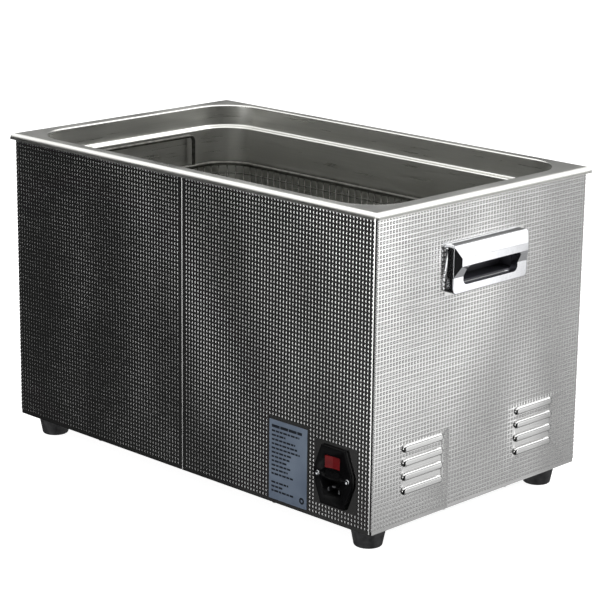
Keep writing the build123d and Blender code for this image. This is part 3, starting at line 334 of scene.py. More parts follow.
@dataclass(frozen=True)
class Finish:
    """A surface: its name, base colour and gloss. Subclasses add what their making leaves behind."""

    name: str
    colour: str
    roughness: float
    metallic: float = 0.0

    def build(self) -> Material:
        """Make the material."""
        material = bpy.data.materials.new(self.name)
        material.use_nodes = True
        tree = material.node_tree
        tree.nodes.clear()
        shader = add_node(tree, "ShaderNodeBsdfPrincipled", None, {
            "Base Color": linear(self.colour), "Roughness": self.roughness, "Metallic": self.metallic})
        add_node(tree, "ShaderNodeOutputMaterial", None, {"Surface": shader.outputs[0]})
        self.detail(tree, shader)
        return material

    def detail(self, tree: NodeTree, shader: Node) -> None:
        """Add the marks of the surface's making."""

    def coordinates(self, tree: NodeTree, size_mm: Sequence[float]) -> NodeSocket:
        """Object coordinates scaled so that one unit is size_mm along each axis."""
        source = add_node(tree, "ShaderNodeTexCoord")
        links = {"Vector": source.outputs["Object"], "Scale": [1 / (s * MM) for s in size_mm]}
        return add_node(tree, "ShaderNodeMapping", None, links).outputs[0]

    def noise(self, tree: NodeTree, size_mm: Sequence[float], detail: float = 3.0) -> NodeSocket:
        """A noise whose grains are size_mm across."""
        return add_node(tree, "ShaderNodeTexNoise", None, {
            "Vector": self.coordinates(tree, size_mm), "Scale": 1.0, "Detail": detail,
            "Roughness": NOISE_ROUGHNESS}).outputs[0]

    def spread(self, tree: NodeTree, value: NodeSocket, low: float, high: float) -> NodeSocket:
        """Map a noise on to a range."""
        return map_range(tree, value, NOISE_RANGE, (low, high))

    def dull(self, tree: NodeTree, value: NodeSocket, low: float, high: float, shader: Node) -> None:
        """Let a noise move the roughness between two offsets from the finish's own."""
        level = self.spread(tree, value, self.roughness + low, self.roughness + high)
        tree.links.new(level, shader.inputs["Roughness"])

    def tint(self, tree: NodeTree, factor: NodeSocket, other: str, shader: Node) -> None:
        """Blend the base colour towards another by a 0 to 1 factor."""
        mix = add_node(tree, "ShaderNodeMix", {"data_type": "RGBA"}, {
            "Factor": factor, 6: linear(self.colour), 7: linear(other)})
        tree.links.new(mix.outputs[2], shader.inputs["Base Color"])

    def bump(self, tree: NodeTree, height: NodeSocket, depth_mm: float, shader: Node,
             strength: float = 1.0) -> None:
        """Feed a height to the shader's normal."""
        bump = add_node(tree, "ShaderNodeBump", None, {
            "Height": height, "Distance": depth_mm * MM, "Strength": strength})
        tree.links.new(bump.outputs[0], shader.inputs["Normal"])


@dataclass(frozen=True)
class RolledSteel(Finish):
    """Cold rolled stainless sheet: long fine streaks left by the rolls, and a slow mottle from handling."""

    grain_mm: tuple[float, float, float] = (60.0, 60.0, 0.5)
    streak: float = 0.05
    dark: str = "#8f8f8e"
    wave_mm: float = 3.0
    mottle_mm: tuple[float, float, float] = (45.0, 45.0, 45.0)
    mottle_share: float = 0.35
    mixed_range: tuple[float, float] = (0.45, 0.9)
    sway_mm: tuple[float, float, float] = (160.0, 160.0, 260.0)
    most_dark: float = 0.25
    grain_depth_mm: float = 0.002
    grain_strength: float = 0.25

    def detail(self, tree: NodeTree, shader: Node) -> None:
        """Streaks change the gloss and tone; the mottle is a few centimetres across."""
        streaks = self.noise(tree, self.grain_mm, 4.0)
        mottle = self.noise(tree, self.mottle_mm, 2.0)
        sway = self.noise(tree, self.sway_mm, 1.0)
        both = math_node(tree, "MULTIPLY_ADD", mottle, self.mottle_share, streaks)
        gloss_range = (self.roughness - self.streak, self.roughness + self.streak)
        tree.links.new(map_range(tree, both, self.mixed_range, gloss_range), shader.inputs["Roughness"])
        self.tint(tree, self.spread(tree, streaks, 0.0, self.most_dark), self.dark, shader)
        wave = add_node(tree, "ShaderNodeBump", None, {"Height": sway, "Distance": self.wave_mm * MM})
        grain = add_node(tree, "ShaderNodeBump", None, {
            "Height": streaks, "Distance": self.grain_depth_mm * MM, "Strength": self.grain_strength,
            "Normal": wave.outputs[0]})
        tree.links.new(grain.outputs[0], shader.inputs["Normal"])


@dataclass(frozen=True)
class DrawnWire(Finish):
    """Electropolished wire: bright, with faint drawing lines and darker heat marks at the welds."""

    dark: str = "#3f3e3a"
    patch_mm: float = 6.0

    def detail(self, tree: NodeTree, shader: Node) -> None:
        """Patchy tarnish a few millimetres across."""
        patches = self.noise(tree, (self.patch_mm,) * 3)
        self.tint(tree, self.spread(tree, patches, 0.0, 0.8), self.dark, shader)
        self.dull(tree, patches, -0.06, 0.1, shader)


@dataclass(frozen=True)
class PlatedMetal(Finish):
    """Electroplated metal or plastic: mirror bright, with a very slight orange peel and finger haze."""

    peel_mm: float = 5.0
    haze: float = 0.08
    haze_mm: float = 22.0

    def detail(self, tree: NodeTree, shader: Node) -> None:
        """Orange peel as a shallow bump, haze as patches of roughness."""
        peel = self.noise(tree, (self.peel_mm,) * 3, 1.0)
        haze = self.noise(tree, (self.haze_mm,) * 3, 3.0)
        self.dull(tree, haze, 0.0, self.haze, shader)
        self.bump(tree, peel, 0.02, shader, 0.4)


@dataclass(frozen=True)
class TurnedMetal(Finish):
    """Lathe turned metal: fine rings down its length."""

    ring_mm: float = 0.35
    arc_mm: float = 40.0

    def detail(self, tree: NodeTree, shader: Node) -> None:
        """Rings one cutter feed apart."""
        rings = self.noise(tree, (self.arc_mm, self.arc_mm, self.ring_mm), 2.0)
        self.dull(tree, rings, -0.05, 0.12, shader)
        self.bump(tree, rings, 0.02, shader, 0.5)


@dataclass(frozen=True)
class Moulding(Finish):
    """Injection moulded plastic with a spark-eroded texture and slight flow shading."""

    grain_mm: float = 0.7
    depth_mm: float = 0.02
    sheen: str = "#202022"
    gloss: float = 0.5
    flow_mm: tuple[float, float, float] = (30.0, 30.0, 12.0)

    def detail(self, tree: NodeTree, shader: Node) -> None:
        """Spark texture as bump, flow marks as a tint."""
        grain = self.noise(tree, (self.grain_mm,) * 3, 2.0)
        flow = self.noise(tree, self.flow_mm, 2.0)
        self.tint(tree, self.spread(tree, flow, 0.0, 0.6), self.sheen, shader)
        self.dull(tree, grain, -0.04, 0.08, shader)
        shader.inputs["Specular IOR Level"].default_value = self.gloss
        self.bump(tree, grain, self.depth_mm, shader, 0.7)


@dataclass(frozen=True)
class CuredRubber(Finish):
    """Compression moulded rubber: matt, with a dusty bloom."""

    bloom: str = "#3a3a3b"
    bloom_mm: float = 7.0
    grain_mm: float = 0.6

    def detail(self, tree: NodeTree, shader: Node) -> None:
        """Bloom in soft patches over a fine grain."""
        bloom = self.noise(tree, (self.bloom_mm,) * 3, 4.0)
        grain = self.noise(tree, (self.grain_mm,) * 3, 2.0)
        self.tint(tree, self.spread(tree, bloom, 0.0, 0.7), self.bloom, shader)
        self.bump(tree, grain, 0.04, shader, 0.8)


@dataclass(frozen=True)
class SolderResist(Finish):
    """Circuit board: resist over copper tracks that show as a paler pattern of right-angled runs."""

    track: str = "#1f6b3c"
    pitch_mm: float = 2.5
    track_step: float = 0.12  # shares of the pitch, as the next two are
    track_edge: tuple[float, float] = (0.05, 0.08)

    def detail(self, tree: NodeTree, shader: Node) -> None:
        """Tracks from the edges of blocky cells."""
        cells = add_node(tree, "ShaderNodeTexVoronoi", {"distance": "MANHATTAN", "feature": "F1"}, {
            "Vector": self.coordinates(tree, (self.pitch_mm,) * 3), "Scale": 1.0})
        lines = math_node(tree, "PINGPONG", cells.outputs["Distance"], self.track_step)
        mask = map_range(tree, lines, self.track_edge)
        self.tint(tree, mask, self.track, shader)
        self.bump(tree, mask, 0.05, shader, 0.5)


@dataclass(frozen=True)
class PrintedFoil(Finish):
    """Polyester label: satin film with a faint metal flake."""

    flake: str = "#7d8796"
    flake_mm: float = 0.5
    cloud_mm: float = 30.0
    shown: tuple[float, float] = (0.15, 0.4)

    def detail(self, tree: NodeTree, shader: Node) -> None:
        """Flake drawn at half a millimetre so that it shows."""
        flake = self.noise(tree, (self.flake_mm,) * 3, 2.0)
        cloud = self.noise(tree, (self.cloud_mm,) * 3, 2.0)
        both = math_node(tree, "MULTIPLY", flake, cloud)
        self.tint(tree, map_range(tree, both, self.shown), self.flake, shader)


@dataclass(frozen=True)
class ClearLens(Finish):
    """Tinted acrylic or glass: smooth, deep and shiny."""

    deep: str = "#050101"
    coat: float = 0.8

    def detail(self, tree: NodeTree, shader: Node) -> None:
        """Depth from a Layer Weight tint and a clear coat."""
        shader.inputs["Coat Weight"].default_value = self.coat
        facing = add_node(tree, "ShaderNodeLayerWeight", None, {"Blend": 0.4})
        self.tint(tree, facing.outputs["Facing"], self.deep, shader)


class Workshop:
    """Builds each finish once, on first use, and hands it out by the record's material slot."""

    FINISHES: dict[str, Finish] = {
        "casing_steel": RolledSteel("rolled_stainless_sheet", "#d2d2d1", 0.165, 1.0, grain_mm=(70.0, 70.0, 0.6),
                                    streak=0.04),
        "tank_steel": RolledSteel("pressed_stainless_steel", "#e2e2de", 0.32, 1.0, grain_mm=(90.0, 90.0, 2.0),
                                  streak=0.06, dark="#c2c2bc"),
        "basket_wire": DrawnWire("electropolished_wire", "#666662", 0.36, 1.0),
        "rubber_black": CuredRubber("moulded_rubber", "#141416", 0.62),
        "screw_steel": PlatedMetal("zinc_plated_steel", "#c6c8cb", 0.26, 1.0, peel_mm=1.2),
        "chrome_pull": PlatedMetal("chrome_plated_abs", "#e6e7ea", 0.06, 1.0),
        "plastic_black": Moulding("moulded_black_abs", "#040405", 0.45, sheen="#070708", gloss=0.1),
        "rocker_red": Moulding("moulded_red_polycarbonate", "#5a0509", 0.38, sheen="#3a0206", gloss=0.12),
        "label_foil": PrintedFoil("printed_polyester_foil", "#485363", 0.45, flake="#5c6775"),
        "fuse_glass": ClearLens("fuse_glass", "#c9d2d2", 0.08, deep="#7d8a8a"),
        "display_lens": ClearLens("smoked_red_acrylic", "#2a0506", 0.12),
        "button_grey": Moulding("moulded_grey_abs", "#8b8f94", 0.35, sheen="#7b7f85"),
        "board_green": SolderResist("solder_resist", "#0d3d20", 0.35),
        # the pull pockets: their black plastic painted a lighter grey, as painted light for the light that falls
        # into them through their openings
        "pocket_plastic": Moulding("moulded_dark_polypropylene", "#505058", 0.4, sheen="#44444a"),
        "post_nylon": Moulding("natural_nylon", "#d8d6c8", 0.5, sheen="#c5c2b0"),
        "horn_aluminium": TurnedMetal("turned_aluminium", "#c3c5c8", 0.28, 1.0),
        "ceramic_pale": Moulding("fired_piezo_ceramic", "#b9b39a", 0.6, sheen="#a59f86"),
        "heater_silicone": CuredRubber("silicone_rubber_mat", "#a8401c", 0.55, bloom="#b85a36"),
        "thermostat_body": Moulding("phenolic_moulding", "#2a1710", 0.4, sheen="#3a2217"),
        "ferrite": Moulding("sintered_ferrite", "#1a1a1c", 0.55, sheen="#2b2b2e"),
        "valve_brass": PlatedMetal("nickel_plated_brass", "#b9b2a2", 0.2, 1.0, peel_mm=1.5),
        "lever_grip": Moulding("dipped_vinyl", "#8e1418", 0.4, sheen="#6e0e12"),
        "ink_dark": Moulding("screen_ink", "#0d1117", 0.6, sheen="#12171f", gloss=0.2),
        "ink_pale": Moulding("pale_screen_ink", "#d9dcdf", 0.5, sheen="#c9ccd0"),
        "segment": ClearLens("unlit_segment", "#5a1214", 0.3, deep="#3a0809"),
    }

    def __init__(self) -> None:
        """Start with nothing built."""
        self.built: dict[str, Material] = {}

    def get(self, slot: str) -> Material:
        """The material of a slot or of an extra finish."""
        if slot not in self.built:
            self.built[slot] = self.FINISHES[slot].build()
        return self.built[slot]


# ------------------------------------------------------------------ casing


@dataclass
class Emboss:
    """Small square pillows, called domes here, pressed out of all four walls in a square grid."""

    shop: Workshop
    pitch: float = 4.4 * MM
    dome_radius: float = 2.5 * MM  # to the corners
    dome_top: float = 0.7 * MM
    dome_height: float = 0.23 * MM
    sunk: float = 0.05 * MM
    margin: float = 2.2 * MM
    rim_out: float = 5.0 * MM
    clear: float = 1.5 * MM
    dome_corners: int = 4
    seam_clear: float = 1.2 * MM
    louvre: tuple[float, float] = (60 * MM, 9 * MM)  # length, height
    louvre_pitch: float = 14.6 * MM
    louvre_lowest: float = 35 * MM
    louvre_offset: float = 86.7 * MM
    louvre_rows: int = 4
    guards: dict[str, tuple[str, ...]] = field(default_factory=lambda: {
        "back": ("inlet_body", "rating_label"), "front": ("control_panel",),
        "left": ("pull_left",), "right": ("pull_right", "valve_body")})

    def casing(self) -> tuple[Vector, Vector]:
        """The casing's own box, without louvres: from the tank's rim and the wrap's height."""
        rim_low, rim_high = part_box("tank")
        wrap_low, wrap_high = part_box("casing_wrap")
        out = Vector((self.rim_out, self.rim_out, 0))
        low, high = rim_low + out, rim_high - out
        return Vector((low.x, low.y, wrap_low.z)), Vector((high.x, high.y, wrap_high.z))

    def louvre_boxes(self) -> list[tuple[float, float, float, float]]:
        """The louvres' places on an end wall: y and z ranges about the casing's middle and underside."""
        length, height = self.louvre
        places = []
        for y in (-self.louvre_offset, self.louvre_offset):
            for row in range(self.louvre_rows):
                z = self.louvre_lowest + row * self.louvre_pitch
                places.append((y - length / 2, y + length / 2, z - height / 2, z + height / 2))
        return places

    def wall(self, name: str, width: float, height: float, place: Matrix,
             holes: Iterable[tuple[float, float, float, float]]) -> None:
        """Cover one wall with domes.

        Args:
            name: The wall's name.
            width: The wall's width.
            height: The wall's height.
            place: From the wall's own space, with X across and Y up from the middle of its lower edge, to the
                row frame.
            holes: Ranges in that space that stay bare: low x, high x, low y, high y.
        """
        grow = GeometryTree(f"emboss_{name}")
        pitch = grow.number("Pitch", self.pitch)
        radius = grow.number("Dome radius", self.dome_radius)
        top = grow.number("Dome top radius", self.dome_top)
        tall = grow.number("Dome height", self.dome_height + self.sunk)
        sunk = grow.number("Sunk", self.sunk)
        across = int((width - 2 * self.margin) / self.pitch) + 1
        up = int((height - 2 * self.margin) / self.pitch) + 1
        count_x = grow.number("Domes across", across)
        count_y = grow.number("Domes up", up)
        span_x = grow.math("MULTIPLY", grow.math("SUBTRACT", count_x, 1.0), pitch)
        span_y = grow.math("MULTIPLY", grow.math("SUBTRACT", count_y, 1.0), pitch)
        grid = grow.add("GeometryNodeMeshGrid", None, {
            "Size X": span_x, "Size Y": span_y, "Vertices X": count_x, "Vertices Y": count_y})
        middle = grow.number("Grid middle", (0.0, height - self.margin - (up - 1) * self.pitch / 2, 0.0))
        points = grow.add("GeometryNodeSetPosition", None, {"Geometry": grid.outputs[0], "Offset": middle})
        spot = grow.split(grow.add("GeometryNodeInputPosition").outputs[0])
        geometry = points.outputs[0]
        for i, (x0, x1, y0, y1) in enumerate(holes):
            low = grow.split(grow.number(f"Bare {i} low", (x0 - self.clear, y0 - self.clear, 0.0)))
            high = grow.split(grow.number(f"Bare {i} high", (x1 + self.clear, y1 + self.clear, 0.0)))
            tests = [grow.math("GREATER_THAN", spot[k], low[k]) for k in (0, 1)]
            tests += [grow.math("LESS_THAN", spot[k], high[k]) for k in (0, 1)]
            inside = grow.math("MULTIPLY", grow.math("MULTIPLY", tests[0], tests[1]),
                               grow.math("MULTIPLY", tests[2], tests[3]))
            bare = grow.add("GeometryNodeDeleteGeometry", {"domain": "POINT"}, {
                "Geometry": geometry, "Selection": inside})
            geometry = bare.outputs[0]
        dome = grow.add("GeometryNodeMeshCone", {"fill_type": "NGON"}, {
            "Vertices": self.dome_corners, "Side Segments": 1, "Radius Top": top, "Radius Bottom": radius,
            "Depth": tall})
        lowered = grow.add("GeometryNodeTransform", None, {
            "Geometry": dome.outputs[0], "Rotation": (0.0, 0.0, math.pi / 4),
            "Translation": grow.along(2, grow.math("MULTIPLY", sunk, -1.0))})
        many = grow.add("GeometryNodeInstanceOnPoints", None, {"Points": geometry, "Instance": lowered.outputs[0]})
        steel = self.shop.get("casing_steel")
        grow.finish(many.outputs[0], steel)
        settle(grow.make(f"emboss_{name}", steel, place), Body.CLEANER, "casing_steel")

    def build(self) -> None:
        """Cover the four walls."""
        low, high = self.casing()
        mid = (low + high) / 2
        width, depth, height = high.x - low.x, high.y - low.y, high.z - low.z
        walls = {
            "back": (width, wall_frame((mid.x, high.y, low.z), (-1, 0, 0), (0, 1, 0))),
            "front": (width, wall_frame((mid.x, low.y, low.z), (1, 0, 0), (0, -1, 0))),
            "left": (depth, wall_frame((low.x, mid.y, low.z), (0, -1, 0), (-1, 0, 0))),
            "right": (depth, wall_frame((high.x, mid.y, low.z), (0, 1, 0), (1, 0, 0))),
        }
        for name, (span, place) in walls.items():
            back_to_wall = place.inverted()
            holes = []
            for node in self.guards[name]:
                corners = [back_to_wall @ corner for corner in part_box(node)]
                xs, ys = sorted(c.x for c in corners), sorted(c.y for c in corners)
                holes.append((xs[0], xs[1], ys[0], ys[1]))
            if name in ("left", "right"):
                holes += self.louvre_boxes()
            if name == "back":
                holes.append((-self.seam_clear, self.seam_clear, 0.0, height))
            self.wall(name, span, height, place, holes)


@dataclass
class TankShell:
    """The pressed tank as one clean skin: rolled rim, mouth, ledge, deep walls, rounded floor and drain hole."""

    shop: Workshop
    mouth: tuple[float, float, float] = (255 * MM, 150 * MM, 45 * MM)  # half length, half width, corner radius
    rim: tuple[float, float, float] = (275 * MM, 166 * MM, 4 * MM)  # the same three
    least_corner: float = 0.2 * MM
    rim_thick: float = 6.4 * MM
    rim_round: float = 6.2 * MM
    mouth_round: float = 1.8 * MM
    ledge_drop: float = 24.5 * MM
    ledge: float = 8 * MM
    ledge_round: float = 2 * MM
    floor_round: float = 12 * MM
    sheet: float = 1.5 * MM
    drain_x: float = 214 * MM
    drain_radius: float = 12.65 * MM
    corner_steps: int = 14
    arc_steps: int = 6
    drain_steps: int = 32

    def outline(self, half_x: float, half_y: float, corner: float, z: float) -> list[tuple[float, ...]]:
        """Go round a rounded rectangle, anticlockwise.

        Args:
            half_x: Half its length.
            half_y: Half its width.
            corner: Its corner radius.
            z: Its height.

        Returns:
            The points.
        """
        points = []
        for quarter, (sx, sy) in enumerate(((1, 1), (-1, 1), (-1, -1), (1, -1))):
            cx, cy = sx * (half_x - corner), sy * (half_y - corner)
            for k in range(self.corner_steps + 1):
                a = math.pi / 2 * (quarter + k / self.corner_steps)
                points.append((cx + corner * math.cos(a), cy + corner * math.sin(a), z))
        return points

    def around(self, out: float, z: float) -> list[tuple[float, ...]]:
        """The mouth's outline moved outwards by a distance."""
        half_x, half_y, corner = self.mouth
        return self.outline(half_x + out, half_y + out, corner + out, z)

    def arc(self, centre: tuple[float, float], radius: float, start: float,
            end: float) -> list[tuple[float, float]]:
        """Points of a section's arc, as distance out and height."""
        turns = [math.radians(start + (end - start) * k / self.arc_steps) for k in range(self.arc_steps + 1)]
        return [(centre[0] + radius * math.cos(t), centre[1] + radius * math.sin(t)) for t in turns]

    def sections(self, floor: float, top: float) -> list[list[tuple[float, ...]]]:
        """Work out every ring of the skin.

        Args:
            floor: The height of the floor's upper face.
            top: The height of the rim.

        Returns:
            The rings, from the floor's edge inside, up, over the rim and down to the floor's underside.
        """
        level, deep, inner = top - self.ledge_drop, -self.ledge, self.ledge_round
        inside = self.arc((deep - self.floor_round, floor + self.floor_round), self.floor_round, -90, 0)
        inside += self.arc((deep + inner, level - inner), inner, 180, 90)
        inside += self.arc((-inner, level + inner), inner, -90, 0)
        inside += self.arc((self.mouth_round, top - self.mouth_round), self.mouth_round, 180, 90)
        rings = [self.around(out, z) for out, z in inside]
        half_x, half_y, corner = self.rim
        for k in range(self.arc_steps + 1):
            t = math.pi / 2 * (1 - k / self.arc_steps)
            back = self.rim_round * (1 - math.cos(t))
            rings.append(self.outline(half_x - back, half_y - back, max(corner - back, self.least_corner),
                                      top - self.rim_round * (1 - math.sin(t))))
        under = top - self.rim_thick
        rings.append(self.outline(*self.rim, under))
        wall = self.sheet
        outside = [(wall, under), (wall, level), (wall - inner, level - wall), (deep + wall, level - 2 * wall)]
        outside += self.arc((deep - self.floor_round, floor + self.floor_round), self.floor_round + wall, 0, -90)
        return rings + [self.around(out, z) for out, z in outside]

    def build(self) -> None:
        """Skin the rings, close the floor round its drain hole and stand in for the CAD tank."""
        low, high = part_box("tank")
        floor = low.z + self.sheet
        work = bmesh.new()
        rings = [[work.verts.new(p) for p in ring] for ring in self.sections(floor, high.z)]
        for lower, upper in zip(rings, rings[1:]):
            for i in range(len(lower)):
                j = (i + 1) % len(lower)
                work.faces.new((lower[i], lower[j], upper[j], upper[i]))
        holes = []
        for ring, z in ((rings[0], floor), (rings[-1], low.z)):
            steps, r = self.drain_steps, self.drain_radius
            turns = [math.tau * k / steps for k in range(steps)]
            hole = [work.verts.new((self.drain_x + r * math.cos(t), r * math.sin(t), z)) for t in turns]
            edges = [work.edges.new((hole[k], hole[(k + 1) % steps])) for k in range(steps)]
            rim = [work.edges.get((ring[k], ring[(k + 1) % len(ring)])) for k in range(len(ring))]
            bmesh.ops.triangle_fill(work, edges=edges + rim, use_beauty=True, use_dissolve=False)
            holes.append(hole)
        for k in range(len(holes[0])):
            j = (k + 1) % len(holes[0])
            work.faces.new((holes[0][k], holes[0][j], holes[1][j], holes[1][k]))
        bmesh.ops.remove_doubles(work, verts=work.verts, dist=MERGE)
        bmesh.ops.recalc_face_normals(work, faces=work.faces)
        mesh = bpy.data.meshes.new("tank_shell")
        work.to_mesh(mesh)
        work.free()
        mesh.transform(Matrix.Translation(((low.x + high.x) / 2, (low.y + high.y) / 2, 0)))
        mesh.materials.append(self.shop.get("tank_steel"))
        settle(smoothed(new_object("tank_shell", mesh)), Body.CLEANER, "tank_steel", "tank")


@dataclass
class RatingLabel:
    """Blank rating label: rows of plain bars where print would be, and a ring mark."""

    shop: Workshop
    ink: float = 0.06 * MM
    side: float = 3.5 * MM
    rows: tuple[float, ...] = (0.92, 0.84, 0.42, 0.72, 0.78, 0.86, 0.62, 0.55,
                               0.46, 0.60, 0.50, 0.66, 0.0, 0.52, 0.36, 0.70)  # each as a share of the width
    thick: tuple[float, float] = (0.66, 0.44)  # the title's and the rows', as a share of a row's step
    title_run: float = 11.0  # this and the next two in millimetres
    least_run: float = 3.2
    extra_run: float = 2.6
    gap: float = 0.9 * MM
    shortest: float = 1.2 * MM
    ring_radius: float = 3.6 * MM
    ring_hole: float = 0.4  # as a share of its radius
    ring_inset: tuple[float, float] = (3.2 * MM, 4.2 * MM)
    ring_blocks: int = 14
    block_fill: float = 0.96

    def build(self) -> None:
        """Lay the bars and the ring on the label's face."""
        low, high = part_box("rating_label")
        width, height = high.x - low.x, high.z - low.z
        place = wall_frame(((low.x + high.x) / 2, high.y, low.z), (-1, 0, 0), (0, 1, 0))
        step = (height - 2 * self.side) / (len(self.rows) + 1)

        def draw(work: BMesh) -> None:
            """Bars as short dashes of uneven length, then a ring of short blocks."""
            for i, share in enumerate(self.rows):
                y = height - self.side - (i + 1) * step
                thick = step * self.thick[min(i, 1)]
                x, end = -width / 2 + self.side, -width / 2 + self.side + share * (width - 2 * self.side)
                k = 0
                while x < end - self.shortest:
                    uneven = self.least_run + self.extra_run * math.sin(2.3 * i + 1.7 * k) ** 2
                    run = min((uneven if i else self.title_run) * MM, end - x)
                    prism(work, [(x, y), (x + run, y), (x + run, y + thick), (x, y + thick)], 0, self.ink)
                    x += run + self.gap
                    k += 1
            centre = (width / 2 - self.side - self.ring_inset[0], self.side + self.ring_inset[1])
            ring, hole = self.ring_radius, self.ring_radius * self.ring_hole
            for k in range(self.ring_blocks):
                a, b = (math.tau * (k + e) / self.ring_blocks for e in (0.0, self.block_fill))
                outline = [(centre[0] + r * math.cos(t), centre[1] + r * math.sin(t))
                           for r, t in ((hole, a), (ring, a), (ring, b), (hole, b))]
                prism(work, outline, 0, self.ink)

        ink = self.shop.get("ink_dark")
        settle(carved("rating_label_ink", draw, place, ink), Body.CLEANER, "label_foil")


@dataclass
class Seam:
    """The turned edge of the sheet that laps the seam at the middle of the back."""

    shop: Workshop
    width: float = 1.5 * MM
    out: float = 0.45 * MM
    beside: float = 0.2 * MM
    sunk: float = 0.02 * MM
    short: float = 0.5 * MM
    steps: int = 6
    sharp: float = 60.0

    def build(self) -> None:
        """A thin half-round bead beside the slit, from the base to the rim."""
        low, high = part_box("casing_wrap")
        mid = (low.x + high.x) / 2
        place = Matrix.Translation((mid - self.width / 2 - self.beside, high.y, 0))

        def draw(work: BMesh) -> None:
            """A half-round section drawn upwards."""
            turns = [math.pi * k / self.steps for k in range(self.steps + 1)]
            outline = [(self.width / 2 * math.cos(t), self.out * math.sin(t) - self.sunk) for t in turns]
            prism(work, outline, low.z + self.short, high.z - self.short)

        piece = carved("seam_bead", draw, place, self.shop.get("casing_steel"))
        piece.data.shade_smooth()
        piece.data.set_sharp_from_angle(angle=math.radians(self.sharp))
        settle(piece, Body.CLEANER, "casing_steel")


# ------------------------------------------------------------------ basket


